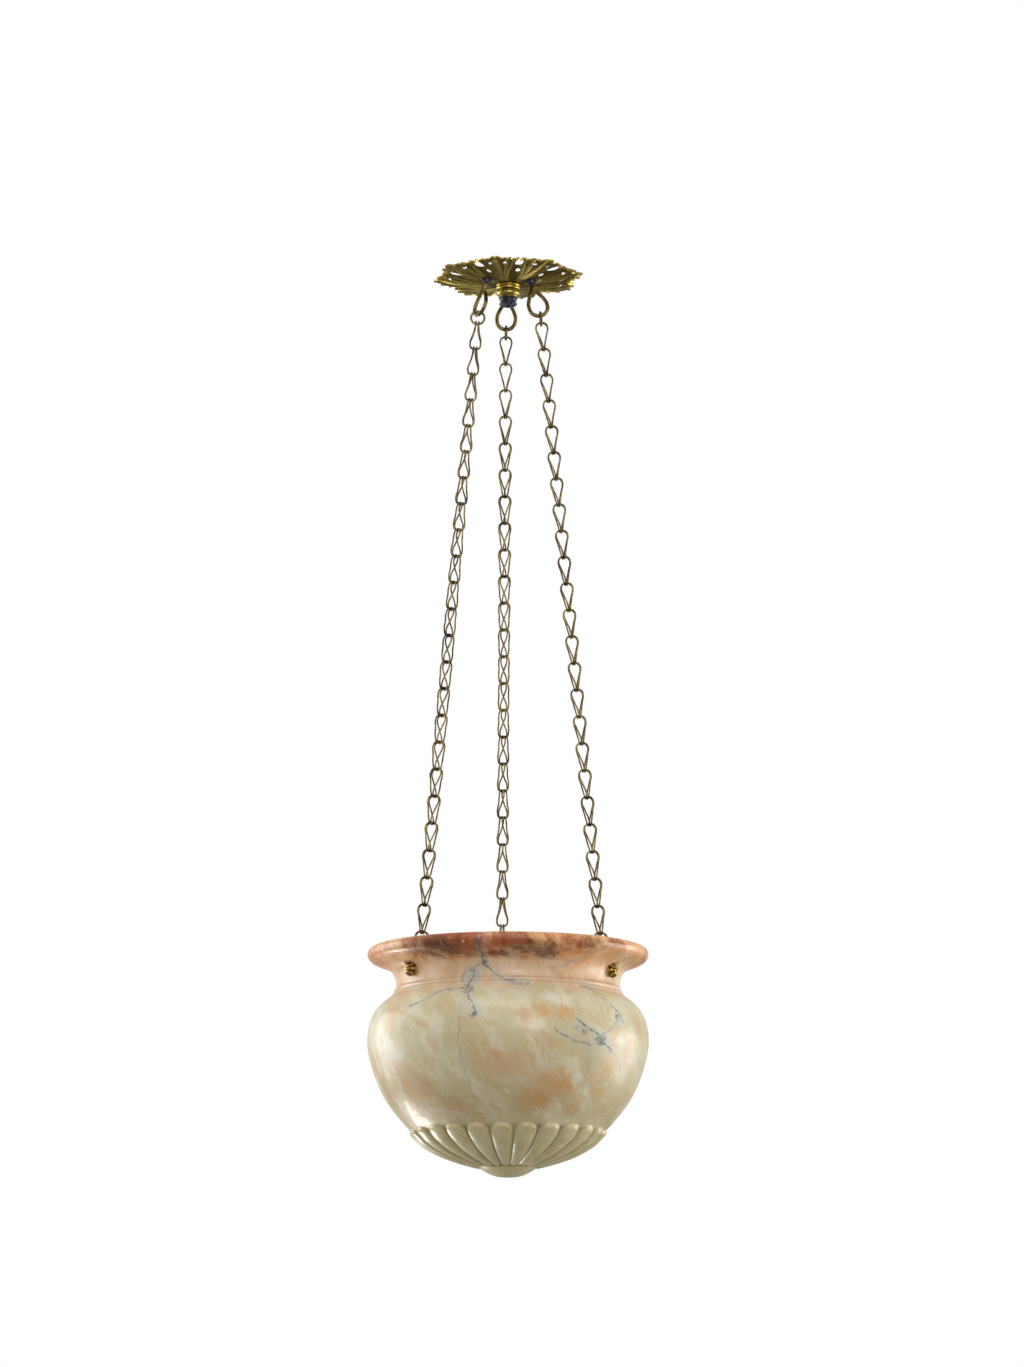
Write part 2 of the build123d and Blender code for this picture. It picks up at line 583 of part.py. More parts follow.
def scalloped(ridge):
    """Closed outline of the gadroons' ridges and valleys at one depth, valleys at the bolts."""
    step = 2 * pi / GADROONS
    valley = ridge * (1 - GADROON_RELIEF)
    for n in range(GADROONS):
        turns = (n * step, (n + 0.5) * step, (n + 1) * step)
        spots = [(r * sin(t), -r * cos(t)) for r, t in zip((valley, ridge, valley), turns)]
        ThreePointArc(*spots)


with BuildPart() as gadroon_band:
    for ridge, depth in GADROON_RIDGES:
        with BuildSketch(Plane.XY.offset(CREST_Z - depth)):
            with BuildLine():
                scalloped(ridge)
            make_face()
    loft(ruled=True)

top_ridge, gadroon_top = GADROON_RIDGES[0]
basin_ridge, basin_depth = GADROON_RIDGES[2]
gadroon_foot = GADROON_RIDGES[-1][1]
neck_foot = BOWL_NECK_DEPTH + BOWL_NECK_LENGTH
fillet_radius = BOWL_NECK_RADIUS + BOWL_FILLET
crest = at_depth(CREST_RADIUS, 0)
lip_foot = at_depth(LIP_RADIUS - BOWL_LIP_TUCK, BOWL_LIP_THICKNESS)
cove_top = at_depth(BOWL_NECK_RADIUS + COVE_TOP_OUT, BOWL_LIP_THICKNESS + COVE_TOP_DROP)
neck_top = at_depth(BOWL_NECK_RADIUS, BOWL_NECK_DEPTH)
shoulder = at_depth(fillet_radius, neck_foot + BOWL_FILLET_WIDTH + BOWL_FILLET_SLOPE)
belly = at_depth(BOWL_BELLY_RADIUS, BOWL_BELLY_DEPTH)
haunch_foot = at_depth(top_ridge - GADROON_STEP, gadroon_top)
boss_edge = at_depth(BOSS_RADIUS, gadroon_foot)
boss_foot = at_depth(0, BOSS_DEPTH)
mouth_radius = CREST_RADIUS - INNER_CREST_FLAT
inner_belly = BOWL_BELLY_RADIUS - BOWL_WALL

with BuildPart() as alabaster_bowl:
    with BuildSketch(Plane.XZ):
        with BuildLine():
            Line((0, CREST_Z), crest)
            ThreePointArc(crest, at_depth(LIP_RADIUS, BOWL_LIP_DEPTH), lip_foot)
            Line(lip_foot, cove_top)
            ThreePointArc(
                cove_top,
                at_depth(BOWL_NECK_RADIUS + COVE_MIDDLE_OUT, BOWL_NECK_DEPTH - COVE_MIDDLE_RISE),
                neck_top,
            )
            Polyline(
                neck_top,
                at_depth(BOWL_NECK_RADIUS, neck_foot),
                at_depth(fillet_radius, neck_foot + BOWL_FILLET_SLOPE),
                shoulder,
            )
            ThreePointArc(
                shoulder,
                at_depth(BOWL_BELLY_RADIUS - SHOULDER_IN, BOWL_BELLY_DEPTH - SHOULDER_RISE),
                belly,
            )
            ThreePointArc(
                belly,
                at_depth(BOWL_BELLY_RADIUS - HAUNCH_IN, BOWL_BELLY_DEPTH + HAUNCH_DROP),
                haunch_foot,
            )
            Polyline(haunch_foot, at_depth(0, gadroon_top), (0, CREST_Z))
        make_face()
    revolve(axis=Axis.Z)
    add(gadroon_band.part)
    with BuildSketch(Plane.XZ):
        with BuildLine():
            Polyline(boss_edge, at_depth(0, gadroon_foot), boss_foot)
            ThreePointArc(boss_foot, at_depth(BOSS_ROUND_RADIUS, BOSS_DEPTH - BOSS_ROUND_RISE), boss_edge)
        make_face()
    revolve(axis=Axis.Z)
    with BuildSketch(Plane.XZ):
        with BuildLine():
            Polyline(
                (0, CREST_Z),
                at_depth(mouth_radius, 0),
                at_depth(mouth_radius - INNER_CREST_SLOPE, INNER_CREST_DROP),
                at_depth(INNER_NECK_RADIUS, BOWL_NECK_DEPTH - INNER_THROAT_RISE),
                at_depth(INNER_NECK_RADIUS, neck_foot + INNER_THROAT_DROP),
                *[at_depth(inner_belly - inset, BOWL_BELLY_DEPTH + drop) for inset, drop in INNER_BELLY],
                at_depth(top_ridge - BOWL_WALL - INNER_FOOT_IN, gadroon_top - INNER_FOOT_RISE),
                at_depth(basin_ridge - BOWL_WALL - INNER_BASIN_IN, basin_depth - INNER_BASIN_RISE),
                at_depth(BOSS_RADIUS, BOSS_DEPTH - BOWL_FLOOR - INNER_WELL_RISE),
                at_depth(0, BOSS_DEPTH - BOWL_FLOOR),
                close=True,
            )
        make_face()
    revolve(axis=Axis.Z, mode=Mode.SUBTRACT)
    for side in SIDES:
        with BuildSketch(radial_plane(side, KNOB_SEAT_RADIUS, BOLT_Z)):
            Circle(KNOB_RADIUS + SEAT_CUT_CLEARANCE)
        extrude(amount=BOWL_LIP_OVERHANG, mode=Mode.SUBTRACT)
        with BuildSketch(radial_plane(side, INNER_SEAT_RADIUS, BOLT_Z)):
            Circle(BOLT_WASHER_RADIUS + SEAT_CUT_CLEARANCE)
        extrude(amount=-BOWL_WALL, mode=Mode.SUBTRACT)
        with BuildSketch(radial_plane(side, INNER_SEAT_RADIUS, BOLT_Z)):
            Circle(BOLT_WIRE / 2 + BOLT_HOLE_CLEARANCE)
        extrude(amount=2 * BOWL_WALL, mode=Mode.SUBTRACT)
save(alabaster_bowl.part, "alabaster_bowl")

# ---------------------------------------------------------------- lamp bracket and lampholder
with BuildPart() as lamp_bracket:
    with BuildSketch(Plane.XY.offset(HUB_TOP_Z)):
        Circle(BRACKET_HUB_RADIUS)
    extrude(amount=-BRACKET_THICKNESS)
    for side in SIDES:
        away = outward(side)
        with BuildSketch(Plane(origin=away * (TAB_RADIUS / 2) + Vector(0, 0, HUB_TOP_Z), x_dir=away)):
            Rectangle(TAB_RADIUS, BRACKET_WIDTH)
        extrude(amount=-BRACKET_THICKNESS)
        tab_plane = radial_plane(side, TAB_RADIUS, HUB_TOP_Z)
        with BuildSketch(tab_plane):
            with Locations((0, BRACKET_DROP / 2)):
                Rectangle(BRACKET_WIDTH, BRACKET_DROP)
            with Locations((0, BRACKET_DROP)):
                Circle(BRACKET_WIDTH / 2)
        extrude(amount=-BRACKET_THICKNESS)
        with BuildSketch(radial_plane(side, TAB_RADIUS, BOLT_Z)):
            Circle(BOLT_WIRE / 2 + BOLT_HOLE_CLEARANCE)
        extrude(amount=-BRACKET_THICKNESS, mode=Mode.SUBTRACT)
    with BuildSketch(Plane.XY.offset(HUB_TOP_Z)):
        Circle(HOLDER_STEM_HOLE)
    extrude(amount=-BRACKET_THICKNESS, mode=Mode.SUBTRACT)
save(lamp_bracket.part, "lamp_bracket")

with BuildPart() as holder_stem:
    with BuildSketch(Plane.XY.offset(HUB_TOP_Z + HOLDER_STEM_ABOVE)):
        Circle(HOLDER_STEM_RADIUS)
        Circle(HOLDER_STEM_BORE, mode=Mode.SUBTRACT)
    extrude(amount=-HOLDER_STEM_ABOVE - HOLDER_STEM_BELOW)
save(holder_stem.part, "holder_stem")

with BuildPart() as holder_nut:
    with BuildSketch(Plane.XY.offset(HUB_TOP_Z)):
        RegularPolygon(HOLDER_NUT_FLATS / 2, 6, major_radius=False)
        Circle(HOLDER_STEM_HOLE, mode=Mode.SUBTRACT)
    extrude(amount=HOLDER_NUT_HEIGHT)
save(holder_nut.part, "holder_nut")

grip_z = HUB_TOP_Z + HOLDER_NUT_HEIGHT
stem_top_z = HUB_TOP_Z + HOLDER_STEM_ABOVE
with BuildPart() as cord_grip:
    with BuildSketch(Plane.XZ):
        with BuildLine():
            Polyline(
                (HOLDER_STEM_HOLE, grip_z),
                (CORD_GRIP_RADIUS, grip_z),
                (CORD_GRIP_RADIUS, grip_z + CORD_GRIP_HEIGHT - CORD_GRIP_NOSE_HEIGHT),
                (CORD_GRIP_RADIUS - CORD_GRIP_NOSE, grip_z + CORD_GRIP_HEIGHT),
                (CORD_GRIP_HOLE, grip_z + CORD_GRIP_HEIGHT),
                (CORD_GRIP_HOLE, stem_top_z),
                (HOLDER_STEM_HOLE, stem_top_z),
                close=True,
            )
        make_face()
    revolve(axis=Axis.Z)
save(cord_grip.part, "cord_grip")

cap_top_z = HUB_TOP_Z - BRACKET_THICKNESS
body_top_z = cap_top_z - HOLDER_CAP_HEIGHT
cap_neck = HOLDER_STEM_RADIUS + CAP_NECK_WALL
cap_lining = HOLDER_CAP_RADIUS - HOLDER_WALL
with BuildPart() as holder_cap:
    with BuildSketch(Plane.XZ):
        with BuildLine():
            Polyline(
                (HOLDER_STEM_HOLE, cap_top_z),
                (cap_neck, cap_top_z),
                (cap_neck, cap_top_z - CAP_NECK_HEIGHT),
                (HOLDER_CAP_RADIUS - CAP_SHOULDER_IN, cap_top_z - CAP_SHOULDER_DROP),
                (HOLDER_CAP_RADIUS, cap_top_z - CAP_RIM_DROP),
                (HOLDER_CAP_RADIUS, body_top_z),
                (cap_lining, body_top_z),
                (cap_lining, cap_top_z - CAP_RIM_DROP),
                (cap_lining - CAP_LINING_IN, cap_top_z - CAP_SHOULDER_DROP - CAP_LINING_DROP),
                (HOLDER_STEM_HOLE, cap_top_z - CAP_NECK_HEIGHT - CAP_ROOF),
                close=True,
            )
        make_face()
    revolve(axis=Axis.Z)
save(holder_cap.part, "holder_cap")

body_foot_z = body_top_z - HOLDER_BODY_HEIGHT
with BuildPart() as holder_body:
    with BuildSketch(Plane.XY.offset(body_top_z)):
        Circle(HOLDER_BODY_RADIUS)
    extrude(amount=-HOLDER_BODY_HEIGHT)
    with BuildSketch(Plane.XY.offset(body_foot_z)):
        Circle(HOLDER_BODY_RADIUS - HOLDER_WALL)
    extrude(amount=HOLDER_BODY_HEIGHT - HOLDER_FLOOR, mode=Mode.SUBTRACT)
save(holder_body.part, "holder_body")

ring_top_z = body_top_z - SHADE_RING_DROP
with BuildPart() as shade_ring:
    with BuildSketch(Plane.XY.offset(ring_top_z)):
        Circle(SHADE_RING_RADIUS)
        Circle(HOLDER_BODY_RADIUS + THREAD_CLEARANCE, mode=Mode.SUBTRACT)
    extrude(amount=-SHADE_RING_HEIGHT)
save(shade_ring.part, "shade_ring")

lamp_top_z = body_top_z - HOLDER_FLOOR
glass_top_z = lamp_top_z - LAMP_CAP_HEIGHT
glass_foot_z = glass_top_z - LAMP_LENGTH
with BuildPart() as lamp_cap:
    with BuildSketch(Plane.XY.offset(lamp_top_z)):
        Circle(LAMP_CAP_RADIUS)
    extrude(amount=-LAMP_CAP_HEIGHT)
save(lamp_cap.part, "lamp_cap")


def on_bulb(angle, radius):
    """Point on the round end of the lamp, at an angle above its widest line."""
    turn = radians(angle)
    return (radius * cos(turn), glass_foot_z + LAMP_RADIUS + radius * sin(turn))


def bulb_profile(wall):
    """Half outline of the lamp's glass, a wall's thickness in from its outer face."""
    top = (LAMP_CAP_RADIUS - wall, glass_top_z)
    neck = (LAMP_CAP_RADIUS + LAMP_NECK_FLARE - wall, glass_top_z - LAMP_NECK_LENGTH)
    round_radius = LAMP_RADIUS - wall
    shoulder = on_bulb(LAMP_SHOULDER_ANGLE, round_radius)
    foot = (0, glass_foot_z + wall)
    Polyline((0, glass_top_z), top, neck, shoulder)
    ThreePointArc(shoulder, on_bulb(LAMP_UNDER_ANGLE, round_radius), foot)
    Line(foot, (0, glass_top_z))


with BuildPart() as lamp_glass:
    with BuildSketch(Plane.XZ):
        with BuildLine():
            bulb_profile(0)
        make_face()
    revolve(axis=Axis.Z)
    with BuildSketch(Plane.XZ):
        with BuildLine():
            bulb_profile(LAMP_WALL)
        make_face()
    revolve(axis=Axis.Z, mode=Mode.SUBTRACT)
save(lamp_glass.part, "lamp_glass")

print("lean", round(degrees(LEAN), 3), "crook", round(CROOK_Z, 2), "crest", round(CREST_Z, 2))
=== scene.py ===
"""Alabaster bowl pendant: the finish and the fine forms, put on over the fixed frame of the light.

Metres, Z up, the origin in the middle of the ceiling strap. The sections follow the light as it is
put together: the carved bowl, the chains and what they hang on, the rose over them, and the lamp.
"""
import json
from math import atan2, cos, degrees, exp, hypot, pi, radians, sin, sqrt

import bpy
from mathutils import Matrix, Vector

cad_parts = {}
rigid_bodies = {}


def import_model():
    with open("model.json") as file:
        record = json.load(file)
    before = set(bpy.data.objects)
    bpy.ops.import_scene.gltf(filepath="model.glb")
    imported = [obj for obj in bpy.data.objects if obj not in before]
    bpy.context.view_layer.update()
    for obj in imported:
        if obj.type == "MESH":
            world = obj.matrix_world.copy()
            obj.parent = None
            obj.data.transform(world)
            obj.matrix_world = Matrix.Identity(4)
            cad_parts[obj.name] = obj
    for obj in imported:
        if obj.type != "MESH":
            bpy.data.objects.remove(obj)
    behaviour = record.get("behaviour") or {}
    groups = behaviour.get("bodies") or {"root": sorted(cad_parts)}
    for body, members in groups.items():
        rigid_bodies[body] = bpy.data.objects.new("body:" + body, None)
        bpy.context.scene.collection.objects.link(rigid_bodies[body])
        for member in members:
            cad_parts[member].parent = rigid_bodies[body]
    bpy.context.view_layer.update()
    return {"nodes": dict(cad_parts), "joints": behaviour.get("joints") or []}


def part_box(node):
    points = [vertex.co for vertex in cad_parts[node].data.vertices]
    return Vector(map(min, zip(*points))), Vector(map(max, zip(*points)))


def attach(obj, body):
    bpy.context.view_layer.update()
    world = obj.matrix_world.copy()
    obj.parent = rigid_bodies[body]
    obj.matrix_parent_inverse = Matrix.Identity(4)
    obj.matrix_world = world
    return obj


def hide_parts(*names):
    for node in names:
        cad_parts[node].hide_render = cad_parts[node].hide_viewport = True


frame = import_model()
nodes = frame["nodes"]

# ================================================================ camera
# The photograph looks up at the light from a little under the bowl, through a long lens.
CAMERA_REACH = 4.273  # from the light's axis, level
CAMERA_HEIGHT = -1.2452
CAMERA_AROUND = radians(-3.5)
CAMERA_PITCH = radians(10.8)
CAMERA_TURN = radians(0.053)  # the axis stands a little left of the middle
CAMERA_LENS = 113.24

bpy.ops.object.camera_add(
    location=(CAMERA_REACH * sin(CAMERA_AROUND), -CAMERA_REACH * cos(CAMERA_AROUND), CAMERA_HEIGHT),
    rotation=(radians(90) + CAMERA_PITCH, 0, CAMERA_AROUND - CAMERA_TURN),
)
camera = bpy.context.object
camera.data.lens = CAMERA_LENS
camera.data.sensor_width = 36
camera.data.clip_end = 100
bpy.context.scene.camera = camera
bpy.context.scene.view_settings.view_transform = "Standard"


# ================================================================ carved bowl
# One block of alabaster, turned and hollowed to a wall of about 9 mm, with a rolled lip, a waisted
# neck and a ring of convex gadroons carved around a plain boss. It is waxed and half polished, and
# the stone is warm and clouded, with slate-coloured veins. It hangs on three bolts through its neck.
BOWL_DEPTH = 0.22826  # the lip's crest over the boss's foot; the depths below are from the crest
BOWL_RADIUS = 0.130  # at the middle of the belly
NECK_FROM, NECK_TO = 0.015, 0.040
BEAD_GROOVES = [(0.0408, 0.0012), (0.0452, 0.0010)]  # beside the raised line: depth, half width
# How much painted shade lies in the grooves beside the bead.
BEAD_GROOVE_SHADE = 0.14
BOSS_RADIUS = 0.0283
GADROONS = 24
GADROON_ZONE = 0.179
GADROON_TOP = 0.1812
GADROON_SHOULDER, SHOULDER_RUN, SHOULDER_SHARE = 0.1822, 0.010, 0.66  # a gadroon is lower at its top
GADROON_RISE, GADROON_SWELL, SWELL_TO = 0.0020, 0.040, 0.080  # it stands further off, further out
GADROON_CORNER = 0.0086  # how far the round top of a gadroon drops at its sides
GADROON_ARCH = 2.3  # how square that top is
GADROON_TOP_ROLL = 0.0030
GADROON_FLANK = 0.992
GADROON_END, GADROON_TAPER = 0.0285, 0.0035  # radius
GROOVE_SHADE_REACH = 0.0011  # painted shade lies in the grooves up to about this rise
GROOVE_SHADE_TOP, GROOVE_SHADE_FADE = 0.1815, 0.004
BOWL_TURNS = GADROONS * 16
BOLT_Z = -0.72829
KNOB_SEAT = 0.1126  # from the axis to the flats cut for the knobs
SPOT_FACE = 0.0086
BOLT_DIRECTIONS = {
    "left": Vector((-sin(pi / 3), -0.5, 0)),
    "right": Vector((sin(pi / 3), -0.5, 0)),
    "back": Vector((0, 1, 0)),
}


def select_none():
    """Leaves nothing selected, so that the next operator meets only its own piece."""
    for thing in bpy.data.objects:
        thing.select_set(False)


def edit_all():
    """Edit mode, with all of the active piece's mesh selected."""
    bpy.ops.object.mode_set(mode="EDIT")
    bpy.ops.mesh.select_all(action="SELECT")


def outline(name, runs):
    """A half section in the XZ plane: smooth runs of (radius, height) knots, joined at their ends."""
    select_none()
    bpy.ops.curve.primitive_bezier_curve_add()
    line = bpy.context.object
    line.name = line.data.name = name
    line.data.splines.clear()
    for fineness, knots in runs:
        run = line.data.splines.new("BEZIER")
        run.resolution_u = fineness
        run.bezier_points.add(len(knots) - 1)
        for knot, (radius, height) in zip(run.bezier_points, knots):
            knot.co = (radius, 0, height)
            knot.handle_left_type = knot.handle_right_type = "AUTO" if fineness > 1 else "VECTOR"
    bpy.ops.object.convert(target="MESH")
    return bpy.context.object


def turned(name, runs, steps):
    """A closed turned piece, spun about the Z axis from its half section."""
    piece = outline(name, runs)
    edit_all()
    bpy.ops.mesh.remove_doubles(threshold=0.00002)
    bpy.ops.mesh.spin(steps=steps, angle=2 * pi, center=(0, 0, 0), axis=(0, 0, 1))
    bpy.ops.mesh.select_all(action="SELECT")
    bpy.ops.mesh.remove_doubles(threshold=0.00002)
    bpy.ops.mesh.normals_make_consistent(inside=False)
    bpy.ops.object.mode_set(mode="OBJECT")
    bpy.ops.object.shade_smooth()
    return piece


crest_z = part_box("alabaster_bowl")[0].z + BOWL_DEPTH


def below(*knots):
    """Knots given as millimetres of radius and of depth below the lip's crest."""
    return [(radius / 1000, crest_z - depth / 1000) for radius, depth in knots]


bowl = turned("bowl_carved", [
    (4, below((125.5, 5.4), (129.6, 1.6), (133.5, 0), (137.6, 1.2), (140.0, 4.2), (140.1, 8.2), (137.9, 11.9),
              (134.0, 14.4), (127.5, 17.0), (121.4, 19.4), (117.0, 22.4), (114.0, 26.6), (112.3, 31.5),
              (111.8, 37.0), (111.9, 40.6))),
    (3, below((111.9, 40.6), (112.9, 41.3), (113.7, 42.6), (113.6, 44.0), (113.2, 45.0))),
    (3, below((113.2, 45.0), (114.2, 45.3), (115.1, 46.4), (116.3, 48.6))),
    (5, below((116.3, 48.6), (122.4, 53.4), (129.6, 60.0), (135.2, 68.4), (138.7, 78.6), (140.1, 90.0),
              (139.3, 102.6), (136.6, 115.0), (132.6, 127.6), (127.6, 140.0), (121.2, 152.0), (113.0, 163.6),
              (104.4, 174.0))),
    (8, below((104.4, 174.0), (98.4, 180.2), (94.6, 183.6), (91.2, 186.4), (86.2, 190.6))),
    (6, below((86.2, 190.6), (78.2, 195.9), (68.0, 201.9), (53.1, 208.3), (40.0, 212.8), (28.3, 216.3))),
    (4, below((28.3, 216.3), (28.6, 217.5), (26.8, 219.4), (22.4, 222.3), (12.4, 226.6), (0, 227.9))),
    (1, below((0, 214.0), (27.0, 210.0), (67.3, 189.0))),
    (2, below((67.3, 189.0), (87.4, 176.0), (107.0, 154.5), (119.9, 137.8), (128.6, 110.0), (129.9, 91.0),
              (121.4, 65.8), (109.0, 52.0), (103.0, 43.0))),
    (2, below((103.0, 43.0), (102.8, 32.0), (103.0, 24.0), (106.0, 18.6), (115.6, 12.4), (125.5, 5.4))),
], BOWL_TURNS)


def gadroon_rise(radius, depth, across):
    """How far a gadroon stands off the turned ground, across it from -1 to 1."""
    full = GADROON_RISE + GADROON_SWELL * min(radius, SWELL_TO)
    full *= min(1, SHOULDER_SHARE + (1 - SHOULDER_SHARE) * (depth - GADROON_SHOULDER) / SHOULDER_RUN)
    top = GADROON_TOP + GADROON_CORNER * (1 - (1 - abs(across) ** GADROON_ARCH) ** 0.5)
    rolled = min(max((depth - top) / GADROON_TOP_ROLL, 0), 1)
    fade = min(max((radius - GADROON_END) / GADROON_TAPER, 0), 1)
    return full * sqrt(1 - (GADROON_FLANK * across) ** 2) * sqrt(1 - (1 - rolled) ** 2) * fade


ground = [(v.co.copy(), v.normal.copy()) for v in bowl.data.vertices]
groove_shade = []
for vertex, (spot, facing) in zip(bowl.data.vertices, ground):
    radius, depth, shade_here = hypot(spot.x, spot.y), crest_z - spot.z, 0.0
    if depth > GADROON_ZONE and facing.z < -0.2 and radius > BOSS_RADIUS:
        share = (atan2(spot.x, -spot.y) / (2 * pi / GADROONS)) % 1
        rise = gadroon_rise(radius, depth, 2 * share - 1)
        vertex.co = spot + facing * rise
        # Painted shade: darkest where a gadroon stands least proud, in its grooves and along its top.
        shade_here = exp(-rise / GROOVE_SHADE_REACH) * min(max((depth - GROOVE_SHADE_TOP) / GROOVE_SHADE_FADE, 0), 1)
    elif NECK_FROM < depth < NECK_TO and facing.z < 0.2:
        for direction in BOLT_DIRECTIONS.values():  # the knobs' seats are faced off flat
            proud = spot.dot(direction) - KNOB_SEAT
            off_axis = (spot - direction * spot.dot(direction) - Vector((0, 0, BOLT_Z))).length
            if proud > 0 and off_axis < SPOT_FACE:
                vertex.co = spot - direction * proud
    if any(abs(depth - groove) < half for groove, half in BEAD_GROOVES):
        shade_here = BEAD_GROOVE_SHADE
    groove_shade.append(shade_here)

# The stone's own patches, and two small painted highlights among the pale ones: degrees round from
# the front, millimetres below the crest, half width and half height in millimetres, strength.
ORANGE = [
    (4, 82, 12, 8, 1.0), (11, 77, 13, 8, 1.0), (19, 79, 13, 9, 1.0), (2, 96, 8, 7, 0.7),
    (14, 140, 10, 7, 0.9), (23, 145, 16, 9, 0.8), (11, 161, 16, 10, 1.0), (31, 168, 10, 8, 0.6),
    (44, 126, 11, 14, 0.9),
    (20, 136, 8, 6, 0.6), (-9, 121, 8, 6, 0.6), (-38, 128, 9, 14, 0.6), (-58, 84, 9, 12, 0.6),
    (66, 88, 10, 16, 0.7), (-30, 152, 12, 6, 0.5), (112, 84, 20, 14, 0.9), (158, 130, 24, 16, 0.9),
    (-148, 96, 22, 16, 0.9), (-104, 142, 24, 12, 0.8), (184, 76, 18, 10, 0.7),
]
ROSY = [
    (-5, 128, 30, 16, 0.9), (-18, 118, 14, 20, 0.7), (-44, 146, 24, 14, 0.9), (-52, 128, 16, 14, 0.7),
    (-34, 163, 26, 9, 0.9), (-60, 66, 26, 14, 1.0), (-29, 70, 14, 10, 0.6), (62, 84, 14, 14, 0.7),
    (50, 168, 14, 9, 0.8), (56, 112, 16, 16, 0.7), (18, 152, 34, 20, 0.9), (12, 108, 20, 9, 0.6),
    (30, 100, 16, 9, 0.5), (100, 110, 34, 22, 0.8), (142, 66, 30, 14, 0.9), (-120, 72, 34, 14, 0.9),
    (-166, 140, 34, 20, 0.8), (-90, 100, 22, 26, 0.7),
]
PALE_AND_HIGHLIGHTS = [
    # The first spot and the fourth are painted highlights, small round spots of white.
    (-53, 116, 5, 5, 1.6), (-62, 104, 8, 12, 0.9), (-61, 131, 7, 9, 0.7), (-4, 153, 3, 3, 1.6),
    (15, 63, 10, 7, 0.9), (-34, 88, 12, 12, 0.7), (28, 140, 5, 5, 1.5), (-14, 74, 12, 12, 0.7),
    (36, 100, 12, 9, 0.8), (47, 80, 9, 10, 0.7), (-22, 41, 10, 10, 1.0), (-4, 58, 30, 5, 0.6),
    (34, 186, 20, 10, 0.4), (-70, 90, 10, 30, 0.6), (120, 150, 16, 12, 0.8), (-132, 120, 14, 18, 0.8),
]
BROWN = [
    (-27, 8, 60, 13, 1.1), (-6, 10, 50, 12, 0.9), (15, 16, 22, 8, 0.7), (28, 8, 34, 8, 0.6),
    (-46, 13, 20, 9, 0.6), (4, 17, 9, 8, 0.8), (48, 5, 26, 6, 0.5), (-66, 5, 26, 6, 0.4),
    (100, 8, 60, 10, 0.7), (170, 12, 90, 12, 0.9), (-110, 9, 60, 10, 0.6),
]
SLATE_SPOTS = [
    (-22, 55, 6, 5, 1), (-17, 81, 4, 4, 1), (-15.5, 27, 4, 9, 0.8), (-21, 34, 7, 3, 0.6),
    (37, 103, 8, 6, 1), (43, 111, 5, 3.5, 0.8), (25, 91, 5, 4, 0.8), (24, 104, 5, 3, 0.8),
    (47, 80, 4, 7, 0.9), (29, 95, 5, 4, 0.7), (-48, 68, 5, 3.5, 0.8), (1, 48, 9, 3.5, 0.6),
    (12, 20, 14, 5, 0.5), (41, 50, 6, 3, 0.5),
]
SLATE_RADIUS = 105  # the one radius, in millimetres, at which the slate spots are laid out


def stained(marks, turn, deep, radius):
    """How strongly a set of patches lies on a spot of the stone."""
    total = 0
    for middle, down, wide, tall, strength in marks:
        across = radians((turn - middle + 180) % 360 - 180) * max(radius, 60)
        total = max(total, strength * exp(-(across / wide) ** 2 - ((deep - down) / tall) ** 2))
    return min(total, 1)


def mark(piece, layer, values):
    """Lays one value on each point of a piece, for its material to read."""
    piece.data.attributes.new(layer, "FLOAT", "POINT").data.foreach_set("value", values)


stains_and_highlights = bowl.data.color_attributes.new("stains_and_highlights", "FLOAT_COLOR", "POINT")
slate_spots = []
for vertex, stain_and_highlight in zip(bowl.data.vertices, stains_and_highlights.data):
    spot = vertex.co
    turn, deep = degrees(atan2(spot.x, -spot.y)), (crest_z - spot.z) * 1000
    radius = hypot(spot.x, spot.y) * 1000
    stain_and_highlight.color = [stained(marks, turn, deep, radius) for marks in (ORANGE, ROSY, PALE_AND_HIGHLIGHTS, BROWN)]
    slate_spots.append(stained(SLATE_SPOTS, turn, deep, SLATE_RADIUS))
mark(bowl, "slate", slate_spots)
mark(bowl, "groove_shade", groove_shade)
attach(bowl, "bowl")
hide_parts("alabaster_bowl")


